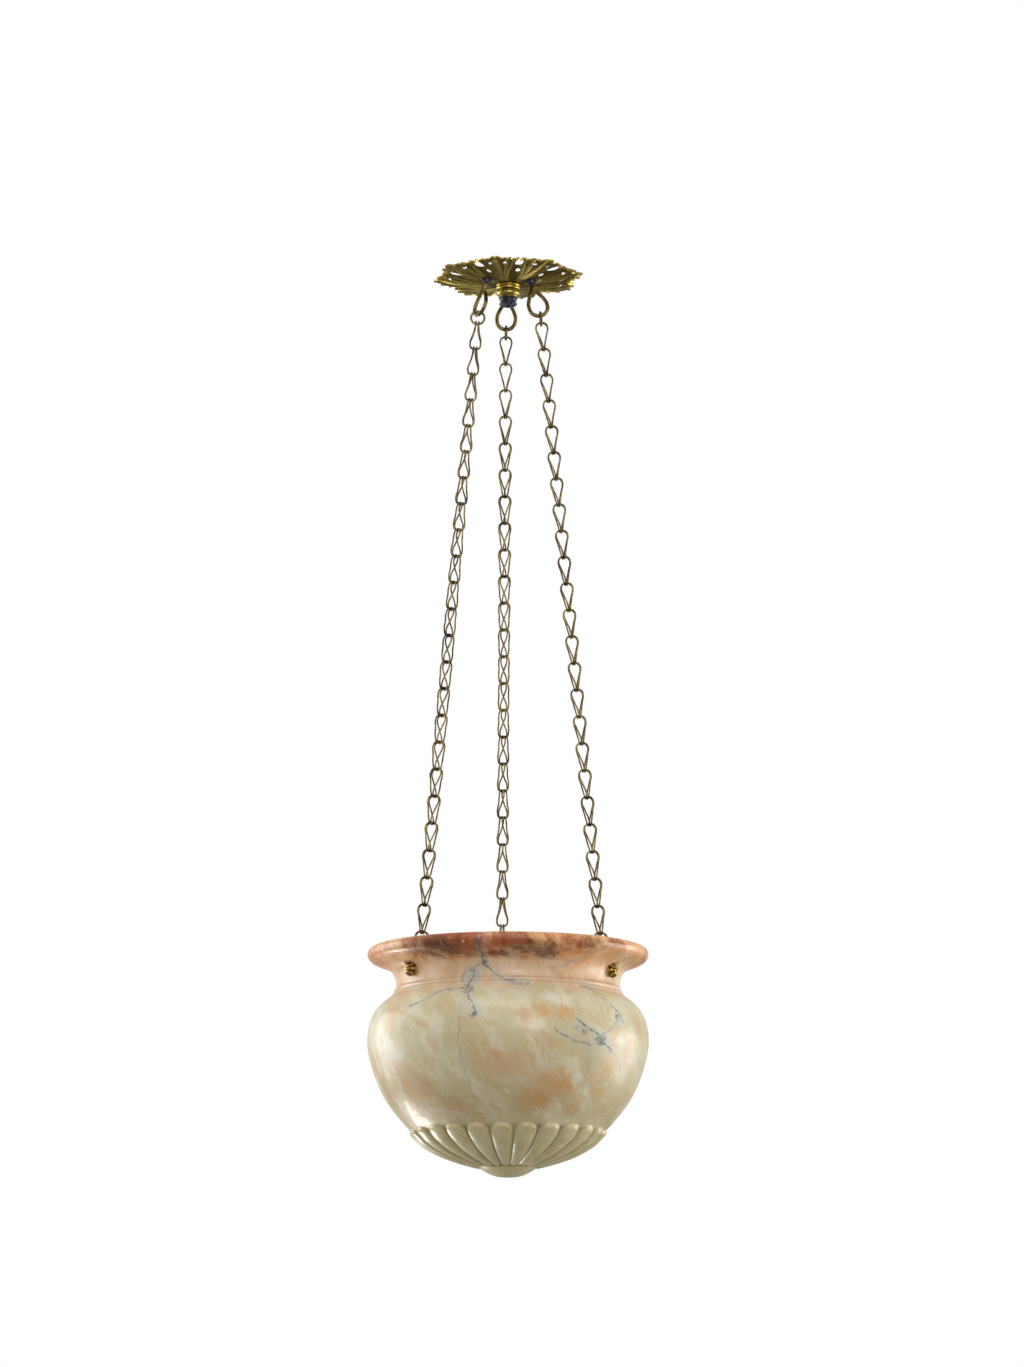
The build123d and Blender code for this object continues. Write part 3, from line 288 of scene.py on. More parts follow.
class Shader:
    """A material's nodes, added and linked by name."""

    def __init__(self, name, **finish):
        self.material = bpy.data.materials.new(name)
        self.material.use_nodes = True
        self.tree = self.material.node_tree
        self.surface = self.tree.nodes["Principled BSDF"]
        for socket, value in finish.items():
            self.surface.inputs[socket.replace("_", " ")].default_value = value
        self.place = self.node("TexCoord").outputs["Object"]

    def node(self, kind, settings=None, **inputs):
        """A shader node, with its settings, and its inputs linked or set."""
        made = self.tree.nodes.new("ShaderNode" + kind)
        for name, value in (settings or {}).items():
            setattr(made, name, value)
        for name, value in inputs.items():
            socket = made.inputs[int(name[1:])] if name[0] == "i" and name[1:].isdigit() \
                else made.inputs[name.replace("_", " ")]
            if isinstance(value, bpy.types.NodeSocket):
                self.tree.links.new(value, socket)
            else:
                socket.default_value = value
        return made

    def math(self, operation, *values):
        sockets = {f"i{n}": value for n, value in enumerate(values)}
        return self.node("Math", {"operation": operation}, **sockets).outputs[0]

    def vector(self, operation, *values):
        sockets = {f"i{n}": value for n, value in enumerate(values)}
        return self.node("VectorMath", {"operation": operation}, **sockets).outputs["Vector"]

    def noise(self, place, scale, detail=4.0, roughness=0.5, out="Fac", **more):
        made = self.node("TexNoise", Vector=place, Scale=scale, Detail=detail, Roughness=roughness, **more)
        return made.outputs[out]

    def ramp(self, value, low, high, to_low=0.0, to_high=1.0, kind="SMOOTHSTEP"):
        """value from low..high to to_low..to_high, held at the ends."""
        return self.node("MapRange", {"interpolation_type": kind}, Value=value, From_Min=low, From_Max=high,
                         To_Min=to_low, To_Max=to_high).outputs["Result"]

    def cloud(self, place, scale, detail, roughness, low, high, *ends):
        """Noise of which the part from low to high is spread over 0 to 1, or between the given ends."""
        return self.ramp(self.noise(place, scale, detail, roughness), low, high, *ends)

    def marked(self, layer):
        """The values that mark() laid on the piece."""
        return self.node("Attribute", {"attribute_name": layer}).outputs["Fac"]

    def mix(self, share, first, second, kind="MIX"):
        """Colour mix of two colours or colour sockets."""
        settings = {"data_type": "RGBA", "blend_type": kind}
        return self.node("Mix", settings, i0=share, i6=first, i7=second).outputs[2]

    def over(self, colour, *coats):
        """A colour with others laid over it in turn, each given as (share, colour)."""
        for share, coat in coats:
            colour = self.mix(share, colour, coat)
        return colour

    def set(self, **sockets):
        for name, value in sockets.items():
            self.tree.links.new(value, self.surface.inputs[name.replace("_", " ")])

    def bump(self, height, distance, strength=1.0):
        made = self.node("Bump", Height=height, Distance=distance, Strength=strength)
        self.tree.links.new(made.outputs["Normal"], self.surface.inputs["Normal"])


def tone(red, green, blue):
    """A colour from its screen values, 0 to 255, as the linear light that the shader takes."""
    light = [((v / 255 + 0.055) / 1.055) ** 2.4 if v > 10 else v / 3295 for v in (red, green, blue)]
    return (*light, 1.0)


def put_on(piece, shader):
    piece.data.materials.clear()
    piece.data.materials.append(shader.material)


VEIN_SPAN = 2.4  # radians round the front that the curves of the veins cover
STONE_DEPTH = 0.228  # and how far down they go

# The clouds are drawn on a place that drifts, so that they look folded, and most of them run aslant.
stone = Shader("waxed_alabaster", IOR=1.5, Coat_Weight=0.24, Coat_Roughness=0.10, Coat_IOR=1.45,
               Subsurface_Weight=0.25, Subsurface_Scale=0.004)
warp = stone.noise(stone.place, 11.0, 4.0, 0.6, out="Color")
drift = stone.vector("MULTIPLY_ADD", warp, (0.07, 0.07, 0.07), stone.place)
fine = stone.noise(stone.place, 60.0, 4.0, 0.65, out="Color")
drift = stone.vector("MULTIPLY_ADD", fine, (0.012, 0.012, 0.012), drift)
slanted = stone.node("Mapping", {"vector_type": "TEXTURE"}, Vector=drift, Rotation=(0, radians(56), 0),
                     Scale=(2.2, 1.4, 0.65)).outputs["Vector"]

stain_and_highlight_layer = stone.node("VertexColor", {"layer_name": "stains_and_highlights"})
patch = stone.node("SeparateColor", Color=stain_and_highlight_layer.outputs["Color"])
ragged = stone.noise(slanted, 60.0, 8.0, 0.68)
softly = stone.noise(drift, 30.0, 6.0, 0.6)
rough_edge = stone.math("MULTIPLY_ADD", ragged, 2.2, stone.math("MULTIPLY_ADD", softly, 1.2, -1.7))


def patchy(strength, most=1.0, low=0.1, high=1.0):
    """A patch of the stone with a cloudy, feathered edge."""
    return stone.math("MULTIPLY", stone.ramp(stone.math("ADD", strength, rough_edge), low, high),
                      stone.ramp(strength, 0.04, 0.4, 0.0, most))


colour = stone.over(
    tone(206, 196, 154),
    (stone.cloud(slanted, 26.0, 7.0, 0.6, 0.34, 0.64), tone(230, 223, 197)),
    (stone.cloud(slanted, 14.0, 6.0, 0.55, 0.44, 0.66, 0.0, 0.8), tone(201, 188, 141)),
    (stone.cloud(slanted, 34.0, 8.0, 0.68, 0.46, 0.68, 0.0, 0.85), tone(208, 175, 126)),
    (stone.cloud(drift, 17.0, 6.0, 0.6, 0.5, 0.7, 0.0, 0.5), tone(182, 174, 146)),
    (patchy(patch.outputs["Green"], 0.8), tone(206, 173, 130)),  # rosy
    (patchy(patch.outputs["Red"], 0.8, -0.1, 1.25), tone(208, 160, 98)),  # orange
    (patchy(patch.outputs["Blue"], 0.75), tone(222, 221, 203)),  # pale, with two painted highlights
)

# The lower belly is browner. Rust has stained the neck and the lip, down to a ragged line.
RAGGED_LINE = 0.050
under_crest = stone.math("SUBTRACT", crest_z, stone.node("SeparateXYZ", Vector=stone.place).outputs["Z"])
colour = stone.mix(stone.ramp(under_crest, 0.115, 0.172), colour, (0.90, 0.86, 0.80, 1.0), "MULTIPLY")
wavy_depth = stone.math("SUBTRACT", under_crest, RAGGED_LINE / 2)
wavy_depth = stone.math("MULTIPLY_ADD", stone.noise(stone.place, 20.0, 5.0, 0.6), RAGGED_LINE, wavy_depth)
neck_tone = stone.over(
    tone(240, 214, 182),
    (stone.cloud(drift, 24.0, 6.0, 0.6, 0.36, 0.64), tone(220, 176, 130)),
    (patchy(patch.outputs["Blue"], 0.9), tone(200, 194, 176)),
)
lip_tone = stone.mix(stone.ramp(ragged, 0.40, 0.62), tone(234, 182, 128), tone(216, 142, 76))
rust_tone = stone.mix(stone.cloud(drift, 34.0, 6.0, 0.6, 0.38, 0.62), tone(174, 88, 34), tone(102, 50, 24))
foot_cloud = stone.cloud(drift, 34.0, 7.0, 0.62, 0.38, 0.64)
foot_tone = stone.mix(foot_cloud, tone(192, 183, 126), tone(218, 209, 160))
rust = patchy(stain_and_highlight_layer.outputs["Alpha"], 1.0, 0.0, 0.9)
mottle = stone.noise(drift, 150.0, 5.0, 0.75)
flecks = stone.math("MULTIPLY", stone.cloud(stone.place, 260.0, 3.0, 0.6, 0.66, 0.72, 0.0, 0.7),
                    stone.cloud(stone.place, 22.0, 2.0, 0.5, 0.5, 0.6))
colour = stone.over(
    colour,
    (stone.ramp(wavy_depth, 0.058, 0.038), neck_tone),
    (stone.ramp(wavy_depth, 0.032, 0.010), lip_tone),
    (rust, rust_tone),
    (stone.ramp(under_crest, 0.174, 0.190, 0.0, 0.6), foot_tone),
    (stone.ramp(mottle, 0.55, 0.75, 0.0, 0.35), tone(232, 228, 206)),
    (stone.ramp(mottle, 0.46, 0.25, 0.0, 0.35), tone(168, 140, 96)),
    (stone.cloud(stone.place, 900.0, 2.0, 0.6, 0.68, 0.78, 0.0, 0.5), tone(240, 238, 226)),  # grain
    (flecks, tone(246, 244, 236)),
    # Painted shade in the grooves of the gadroons and beside the bead.
    (stone.math("MULTIPLY", stone.marked("groove_shade"), 0.7), tone(128, 106, 66)),
)

# The slate veins run through knots, a little shaken and of uneven width, with a grey blur beside them.
VEIN_SHAKE = 0.007
BLUR_WIDTH = 8  # in widths of the vein
shaken = stone.noise(stone.place, 85.0, 4.0, 0.6, out="Color")
shaken = stone.vector("MULTIPLY_ADD", shaken, (VEIN_SHAKE,) * 3,
                      stone.vector("SUBTRACT", stone.place, (VEIN_SHAKE / 2,) * 3))
shaken_xyz = stone.node("SeparateXYZ", Vector=shaken)
forward = stone.math("MULTIPLY", shaken_xyz.outputs["Y"], -1.0)
vein_turn = stone.math("ARCTAN2", shaken_xyz.outputs["X"], forward)
vein_turn = stone.math("MULTIPLY_ADD", vein_turn, 1 / VEIN_SPAN, 0.5)
vein_depth = stone.math("DIVIDE", stone.math("SUBTRACT", crest_z, shaken_xyz.outputs["Z"]), STONE_DEPTH)
wavering = stone.cloud(stone.place, 150.0, 3.0, 0.6, 0.32, 0.68, 0.3, 2.0, "LINEAR")


def vein(knots, width, upright):
    """How near a spot lies to a vein through knots of (degrees round, millimetres down), and to its blur."""
    places = [(radians(turn) / VEIN_SPAN + 0.5, deep / 1000 / STONE_DEPTH) for turn, deep in knots]
    along, beside, reach = vein_turn, vein_depth, STONE_DEPTH
    if upright:
        along, beside, reach = vein_depth, vein_turn, BOWL_RADIUS * VEIN_SPAN
        places = [(deep, turn) for turn, deep in places]
    places.sort()
    route = stone.tree.nodes.new("ShaderNodeFloatCurve")
    curve = route.mapping.curves[0]
    for knot, place in zip((curve.points[0], curve.points[1]), (places[0], places[-1])):
        knot.location = place
    for place in places[1:-1]:
        curve.points.new(*place)
    for knot in curve.points:
        knot.handle_type = "VECTOR"
    route.mapping.extend = "HORIZONTAL"
    route.mapping.update()
    stone.tree.links.new(along, route.inputs["Value"])
    off = stone.math("ABSOLUTE", stone.math("SUBTRACT", beside, route.outputs[0]))
    core = stone.ramp(stone.math("DIVIDE", off, wavering), width / reach, 0.0)
    blur = stone.ramp(off, BLUR_WIDTH * width / reach, 0.0)
    first, last = places[0][0], places[-1][0]
    inside = stone.math("COMPARE", along, (first + last) / 2, (last - first) / 2)
    return stone.math("MULTIPLY", core, inside), stone.math("MULTIPLY", blur, inside)


VEINS = [  # knots, half width in metres, whether it runs mostly upright, strength
    ([(-15, 4), (-15.6, 16), (-15.4, 27), (-20.2, 31.4), (-21.1, 40.7), (-23.2, 48.7), (-22, 56.5),
      (-20.6, 62.8), (-18.5, 68), (-16.7, 82)], 0.0014, True, 1.0),
    ([(-15.4, 27), (-11.3, 37), (-5.4, 44.5), (1.1, 48.3), (7, 48.6)], 0.0013, False, 0.9),
    ([(-15.6, 28), (-21.1, 30.4), (-25.8, 35.8), (-26.9, 44.4), (-22.6, 53.2)], 0.0008, True, 0.8),
    ([(-47.6, 68.4), (-41.2, 62.2), (-35.4, 54.4), (-28.9, 52.8), (-22.6, 53.6)], 0.0011, False, 0.9),
    ([(-22.1, 58), (-22.8, 71.7), (-23.2, 94.5), (-23.7, 120), (-22.2, 134.4), (-20.7, 147)],
     0.0012, True, 0.3),
    ([(33.2, 48.8), (39.4, 48.6), (41.4, 56.3), (43.9, 65.7), (48, 72.4), (50.5, 84)], 0.0012, False, 0.9),
    ([(24.8, 83.2), (29.2, 91.8), (35.1, 98.1), (38.6, 104.8), (43.7, 111.1)], 0.0015, False, 1.0),
    ([(15.6, 94.1), (18.1, 99.3), (25.1, 104.6), (31.8, 108), (38.6, 104.8)], 0.0010, False, 0.9),
    ([(35.2, 100), (40.2, 95.1), (46, 84), (48.2, 73)], 0.0008, False, 0.8),
    ([(31.1, 108), (32.1, 130), (32.7, 152)], 0.0008, True, 0.25),
    ([(43.7, 111), (50, 122), (56, 140)], 0.0008, False, 0.25),
    ([(17.9, 32.9), (26, 28.1), (32.3, 21.7), (36.8, 16.1), (40.2, 8.1)], 0.0009, False, 0.6),
    ([(-4, 12), (3, 15), (9, 20), (15, 23), (22, 24)], 0.0012, False, 0.35),
]
slate = halo = 0.0
for knots, width, upright, strength in VEINS:
    core, blur = vein(knots, width, upright)
    slate = stone.math("MAXIMUM", slate, stone.math("MULTIPLY", core, strength))
    halo = stone.math("MAXIMUM", halo, stone.math("MULTIPLY", blur, strength))

# On the back the veins are the edges of large cells. Slate lies in spots too, and all of it is broken up.
broken = stone.cloud(stone.place, 110.0, 4.0, 0.65, 0.34, 0.6, 0.25, 1.0)
behind = stone.ramp(stone.node("SeparateXYZ", Vector=stone.place).outputs["Y"], 0.01, 0.04)
behind = stone.math("MULTIPLY", behind, stone.cloud(stone.place, 15.0, 2.0, 0.5, 0.52, 0.6))
cells = stone.node("TexVoronoi", {"feature": "DISTANCE_TO_EDGE"}, Vector=shaken, Scale=17.0)
far_veins = stone.math("MULTIPLY", stone.ramp(cells.outputs["Distance"], 0.018, 0.0, 0.0, 0.8), behind)
spotted = stone.marked("slate")
spots = stone.math("MULTIPLY_ADD", stone.noise(shaken, 190.0, 5.0, 0.7), 3.0, -1.55)
spots = stone.ramp(stone.math("ADD", spotted, spots), 0.35, 0.9, 0.0, 0.85)
slate = stone.math("MAXIMUM", stone.math("MAXIMUM", slate, spots), far_veins)
slate = stone.math("MULTIPLY", slate, broken)
halo = stone.math("MAXIMUM", halo, stone.ramp(spotted, 0.05, 0.7))
halo = stone.math("MULTIPLY", halo, stone.ramp(rust, 0.0, 1.0, 0.5, 0.1, "LINEAR"))
stone.set(Base_Color=stone.over(colour, (halo, tone(188, 190, 184)), (slate, tone(100, 100, 102))),
          Roughness=stone.cloud(stone.place, 75.0, 4.0, 0.5, 0.3, 0.7, 0.34, 0.5, "LINEAR"))
stone.bump(stone.noise(stone.place, 420.0, 4.0, 0.6), 0.00012, 0.35)
put_on(bowl, stone)

# ================================================================ chains
# Each chain is brass wire bent into loop-in-loop links: a link is one closed wire whose top is
# folded to two arches and whose foot is two bends side by side, hung through the arches below.
JOINTS = {joint["name"]: Vector(joint["pos_m"]) for joint in frame["joints"]}
SIDES = ("left", "right", "back")
SEATS = {
    "left": JOINTS["bowl_sway_sideways"],
    "right": JOINTS["right_top_ring_swing"],
    "back": JOINTS["back_top_ring_swing"],
}
CHAIN_ENDS = {side: JOINTS[f"{side}_foot_ring_swing"] for side in SIDES}
CHAIN_LINKS = 23
CHAIN_WIRE = 0.0017
RING_WIRE = 0.0023
RING_RADIUS = 0.00685
SEAT_GAP = 0.00008
ARCH_HALF_GAP = 0.0014
BEND_HALF_GAP = 0.00095
ARCH_REACH = 0.0060
BEND_REACH = 0.0054
CHAIN_TURN = {"left": (0, 75), "right": (90, 100), "back": (90, 0)}  # first and last link, degrees


def chain_place(side, down, turn):
    """Places a piece on a chain, down metres under the hook's seat, with its Z up the chain."""
    up = (SEATS[side] - CHAIN_ENDS[side]).normalized()
    across = Vector((cos(radians(turn)), sin(radians(turn)), 0))
    across = (across - up * across.dot(up)).normalized()
    place = Matrix((across, up.cross(across), up)).transposed().to_4x4()
    place.translation = SEATS[side] - up * down
    return place


def bent_wire(name, knots, thickness, fineness, sides, closed=False):
    """A round wire bent through its knots, closed to a loop or with filled ends."""
    select_none()
    bpy.ops.curve.primitive_bezier_curve_add()
    wire = bpy.context.object
    wire.name = wire.data.name = name
    wire.data.splines.clear()
    run = wire.data.splines.new("BEZIER")
    run.bezier_points.add(len(knots) - 1)
    for knot, spot in zip(run.bezier_points, knots):
        knot.co = spot
        knot.handle_left_type = knot.handle_right_type = "AUTO"
    run.use_cyclic_u = closed
    run.resolution_u = fineness
    wire.data.bevel_depth = thickness / 2
    wire.data.bevel_resolution = sides
    wire.data.use_fill_caps = not closed
    bpy.ops.object.convert(target="MESH")
    edit_all()
    bpy.ops.mesh.remove_doubles(threshold=0.00001)
    bpy.ops.mesh.normals_make_consistent(inside=False)
    bpy.ops.object.mode_set(mode="OBJECT")
    bpy.ops.object.shade_smooth_by_angle(angle=radians(50))
    return bpy.context.object


def copy_at(model, place):
    """A copy of a modelled piece with its own mesh, its place worked into the mesh."""
    copy = model.copy()
    copy.data = model.data.copy()
    copy.data.transform(place)
    bpy.context.collection.objects.link(copy)
    return copy


def joined(name, parts):
    """Several meshes as one piece."""
    select_none()
    for part in parts:
        part.select_set(True)
    bpy.context.view_layer.objects.active = parts[0]
    bpy.ops.object.join()
    whole = bpy.context.object
    whole.name = whole.data.name = name
    return whole


wires_touch = (RING_WIRE + CHAIN_WIRE) / 2 + SEAT_GAP
arch_step = wires_touch + (ARCH_HALF_GAP + CHAIN_WIRE / 2) ** 2 / (2 * RING_RADIUS)
ring_foot_down = (SEATS["left"] - JOINTS["bowl_sway_front_back"]).length
chain_top = ring_foot_down - arch_step
link_drop = CHAIN_WIRE + SEAT_GAP
link_pitch = ((SEATS["left"] - CHAIN_ENDS["left"]).length - chain_top - link_drop) / CHAIN_LINKS
link_length = link_pitch + link_drop

# A quarter of a link's wire, from the middle of a bend at its foot to the top of an arch.
quarter = [
    (0, BEND_HALF_GAP, 0),
    (BEND_REACH * 0.72, BEND_HALF_GAP * 1.02, 0.0011),
    (BEND_REACH, BEND_HALF_GAP * 1.4, 0.0044),
    (ARCH_HALF_GAP * 2.0, ARCH_REACH * 0.72, link_length * 0.56),
    (ARCH_HALF_GAP * 1.1, ARCH_REACH, link_length - 0.0056),
    (ARCH_HALF_GAP, ARCH_REACH * 0.68, link_length - 0.0012),
    (ARCH_HALF_GAP, 0, link_length),
]
loop = quarter + [(x, -y, z) for x, y, z in reversed(quarter[:-1])]
loop += [(-x, y, z) for x, y, z in reversed(loop[1:-1])]
link = bent_wire("link", loop, CHAIN_WIRE, fineness=4, sides=2, closed=True)

chains = {}
for side in SIDES:
    first, last = CHAIN_TURN[side]
    links = []
    for n in range(CHAIN_LINKS):
        turn = first + (last - first) * n / (CHAIN_LINKS - 1)
        links.append(copy_at(link, chain_place(side, chain_top + n * link_pitch + link_length, turn)))
    chains[side] = joined(f"chain_links_{side}", links)
    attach(chains[side], f"chain_{side}")
    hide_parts(f"chain_{side}")
bpy.data.objects.remove(link)

aged = Shader("aged_brass_wire", Metallic=1.0, Roughness=0.36)
tarnish = aged.noise(aged.place, 160.0, 5.0, 0.6)
worn = aged.over(
    tone(92, 80, 50),
    (aged.ramp(tarnish, 0.38, 0.62), tone(148, 130, 84)),
    (aged.cloud(aged.place, 42.0, 3.0, 0.5, 0.5, 0.72), tone(74, 62, 42)),
)
aged.set(Base_Color=worn, Roughness=aged.ramp(tarnish, 0.3, 0.7, 0.28, 0.5, "LINEAR"))
aged.bump(aged.noise(aged.place, 700.0, 2.0), 0.00004, 0.6)
for side in SIDES:
    put_on(chains[side], aged)

# ================================================================ rings
# A small plain ring of brass wire, closed with a butt joint, hangs in each hook and takes the
# chain's first link, and another hangs in the chain's last link and takes the hook in the bowl.
RING_JOINT = radians(1.2)  # half the hairline between the wire's two ends
RING_JOINT_AT = radians(20)
RING_BENDS = 24
top_ring_down = ring_foot_down - RING_RADIUS
foot_ring_down = (SEATS["left"] - JOINTS["bowl_on_left_foot_ring"]).length - RING_RADIUS

ring_knots = []
for n in range(RING_BENDS + 1):
    bend = RING_JOINT + (2 * pi - 2 * RING_JOINT) * n / RING_BENDS + RING_JOINT_AT
    ring_knots.append((RING_RADIUS * cos(bend), 0, RING_RADIUS * sin(bend)))
ring = bent_wire("ring", ring_knots, RING_WIRE, fineness=3, sides=4)
for side in SIDES:
    for which, down, turn in (("top", top_ring_down, CHAIN_TURN[side][0]),
                              ("foot", foot_ring_down, CHAIN_TURN[side][1] + 90)):
        hung = copy_at(ring, chain_place(side, down, turn))
        hung.name = hung.data.name = f"{which}_wire_ring_{side}"
        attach(hung, f"{which}_ring_{side}")
        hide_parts(f"{which}_ring_{side}")
        put_on(hung, aged)
bpy.data.objects.remove(ring)

# ================================================================ hooks under the rose
# Three teardrop hooks of 4 mm brass wire carry the chains: each comes down out of the rose, swells to
# a loop and turns back up to a blunt end beside its own shank. A nut over the rose holds it.
HOOK_WIRE = 0.004
HOOK_ROOT_RADIUS = 0.0265
HOOK_ROOT_Z = -0.01085
HOOK_BLUNT = 0.0006  # how far the cut end is rounded
HOOK_PLANE = {"left": (radians(-60), -1), "right": (0, -1), "back": (0, 1)}  # plane, side of the shank
HOOK_LINE = [  # across and along the shank, from the loop's foot
    (0, 0.0476), (0, 0.040), (0.0008, 0.0334), (0.0040, 0.0256), (0.0078, 0.0182), (0.0096, 0.0106),
    (0.0071, 0.0030), (0, 0), (-0.0071, 0.0030), (-0.0096, 0.0106), (-0.0076, 0.0178), (-0.0034, 0.0250),
]
hook_axes = {}
for side in SIDES:
    foot = BOLT_DIRECTIONS[side] * HOOK_ROOT_RADIUS + Vector((0, 0, HOOK_ROOT_Z))
    up = (foot - SEATS[side]).normalized()
    hook_axes[side] = (foot, up)
    plane, hand = HOOK_PLANE[side]
    across = Vector((cos(plane), sin(plane), 0)) * hand
    across = (across - up * across.dot(up)).normalized()
    knots = [SEATS[side] + across * u + up * w for u, w in HOOK_LINE]
    hook = bent_wire(f"wire_hook_{side}", knots, HOOK_WIRE, fineness=6, sides=5)
    select_none()
    hook.select_set(True)
    bpy.context.view_layer.objects.active = hook
    rounded = hook.modifiers.new("blunt_ends", "BEVEL")
    rounded.width, rounded.segments, rounded.angle_limit = HOOK_BLUNT, 2, radians(60)
    bpy.ops.object.modifier_apply(modifier=rounded.name)
    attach(hook, "rose")
    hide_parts(f"hook_{side}")
    put_on(hook, aged)

# ================================================================ ceiling rose
# One brass casting, gilt and then toned dark in its hollows, with painted highlights on its ridges and
# curled tips: eight acanthus leaves that open from the collar, each with a midrib and curling side veins,
# saw-toothed at the edge and pierced between.
ROSE_LEAVES = 8
LEAF_ANGLE = 2 * pi / ROSE_LEAVES
FIRST_NOTCH = radians(8.5)
TIP_RADIUS = 0.078
BORE_RADIUS = 0.0054
HUB_RADIUS, HUB_RUN, HUB_RISE = 0.0135, 0.0165, 0.0021  # the flat hub, and the gentle slope round it
LEAF_ROOT, LEAF_RUN, LEAF_RISE = 0.030, 0.048, 0.0088  # and the steeper leaves
ROSE_SEAT_Z = -0.0125  # the hub's face, where the collar seats
ROSE_TOP_Z, ROSE_FOOT_Z = -0.0014, -0.01285
CROWN, MIDRIB, SIDE_RIB, EDGE_CURL = 0.0026, 0.0013, 0.0012, 0.0024  # heights of the leaf's relief
ROSE_SKIN = 0.0013
ROSE_RINGS = 46
ROSE_STEPS = ROSE_LEAVES * 84
LEAF_EDGE = [  # share of the way across a leaf, millimetres in from its tip
    (0, 15.5), (0.09, 8.4), (0.175, 11.4), (0.275, 3.4), (0.37, 7.6), (0.5, 0), (0.63, 7.0), (0.725, 4.2),
    (0.82, 12.2), (0.91, 8.8), (1, 15.5),
]
SIDE_VEINS = [tooth[0] for tooth in LEAF_EDGE[1:-1:2]]
PIERCINGS = [  # share of a leaf, radius, half length out, half width
    (0.0, 0.0545, 0.0076, 0.0040), (0.06, 0.0385, 0.0036, 0.0024),
    (0.5 - 8 / 45, 0.060, 0.0026, 0.0030), (0.5 + 8 / 45, 0.060, 0.0026, 0.0030),
]


def leaf_edge(share):
    """How far in from the leaf tips the edge runs, at a share of the way across a leaf."""
    for (before, high), (after, low) in zip(LEAF_EDGE, LEAF_EDGE[1:]):
        if share <= after:
            blend = (share - before) / (after - before)
            return (high + (low - high) * (1 - (1 - blend) ** 1.7 if low < high else blend ** 1.7)) / 1000
    return LEAF_EDGE[0][1] / 1000


def smooth(value, low, high):
    value = min(max((value - low) / (high - low), 0), 1)
    return value * value * (3 - 2 * value)


def leaf_relief(share, radius, out):
    """The leaf's carving: crowned across, a midrib, veins out to the teeth and a curled edge."""
    arc = LEAF_ANGLE * radius
    crown = CROWN * sin(pi * smooth(radius, 0.020, 0.086)) * cos(2 * pi * (share - 0.5))
    ridge = MIDRIB * exp(-((share - 0.5) * arc / 0.0015) ** 2)
    for tip in SIDE_VEINS:
        line = 0.5 + (tip - 0.5) * (0.34 + 0.66 * smooth(radius, 0.012, TIP_RADIUS) ** 0.8)
        ridge = max(ridge, SIDE_RIB * exp(-((share - line) * arc / (0.0009 + 0.012 * radius)) ** 2))
    curl = EDGE_CURL * smooth(out, 0.88, 1.0) ** 2
    return crown, ridge * smooth(radius, HUB_RADIUS, 0.020), curl


def leaf_share(turn):
    """How far across its leaf an angle round the rose lies, from 0 to 1."""
    return (turn - FIRST_NOTCH) / LEAF_ANGLE % 1


def from_hole(share, radius, hole):
    """Where a spot lies from a hole's middle, out and across, in half sizes of the hole."""
    middle, far, half_out, half_across = hole
    aside = (share - middle + 0.5) % 1 - 0.5
    return (radius - far) / half_out, aside * LEAF_ANGLE * radius / half_across


leaf_length = TIP_RADIUS - BORE_RADIUS
rose_line = [(BORE_RADIUS + leaf_length * n / ROSE_RINGS, ROSE_SEAT_Z) for n in range(ROSE_RINGS + 1)]
rose = outline("rose_acanthus", [(1, rose_line)])
edit_all()
bpy.ops.mesh.spin(steps=ROSE_STEPS, angle=2 * pi, center=(0, 0, 0), axis=(0, 0, 1))
bpy.ops.mesh.select_all(action="SELECT")
bpy.ops.mesh.remove_doubles(threshold=0.00001)
bpy.ops.object.mode_set(mode="OBJECT")
ridges = []
for vertex in rose.data.vertices:
    turn = atan2(vertex.co.x, -vertex.co.y)
    share = leaf_share(turn)
    out = (hypot(vertex.co.x, vertex.co.y) - BORE_RADIUS) / leaf_length
    radius = BORE_RADIUS + leaf_length * out - leaf_edge(share) * out ** 3
    for hole in PIERCINGS:  # points near a hole's rim are drawn onto it
        u, v = from_hole(share, radius, hole)
        away = hypot(u, v)
        if 0.78 < away < 1.22:
            middle, far, half_out, half_across = hole
            radius = far + half_out * u / away
            turn += (v / away - v) * half_across / radius
    spot = Vector((sin(turn) * radius, -cos(turn) * radius, 0))
    near_hook = min((spot - foot.to_2d().to_3d()).length for foot, up in hook_axes.values())
    carved = smooth(near_hook, 0.0062, 0.0105)  # plain where a hook's pad lies behind
    crown, ridge, curl = leaf_relief(share, radius, out)
    slope = HUB_RISE * min(max((radius - HUB_RADIUS) / HUB_RUN, 0), 1)
    cone = ROSE_SEAT_Z + slope + LEAF_RISE * max((radius - LEAF_ROOT) / LEAF_RUN, 0)
    spot.z = min(cone - (crown + ridge) * carved - curl, ROSE_TOP_Z)
    spot.z = max(spot.z, ROSE_FOOT_Z)
    vertex.co = spot
    # Each point's share of painted highlight: most on the curled tips, less on the ribs and the crown.
    ridges.append(min(max(0.25 * crown / CROWN + 0.55 * ridge / MIDRIB + 1.3 * curl / EDGE_CURL, 0), 1))
mark(rose, "ridges", ridges)
bpy.ops.object.mode_set(mode="EDIT")
bpy.ops.mesh.select_mode(type="FACE")
bpy.ops.mesh.select_all(action="DESELECT")
bpy.ops.object.mode_set(mode="OBJECT")
for face in rose.data.polygons:  # the holes are cut out
    radius, share = hypot(face.center.x, face.center.y), leaf_share(atan2(face.center.x, -face.center.y))
    face.select = any(sum(part ** 2 for part in from_hole(share, radius, hole)) < 0.95 for hole in PIERCINGS)
bpy.ops.object.mode_set(mode="EDIT")
bpy.ops.mesh.delete(type="FACE")
bpy.ops.mesh.select_mode(type="VERT")
bpy.ops.mesh.select_all(action="SELECT")
bpy.ops.mesh.normals_make_consistent(inside=False)
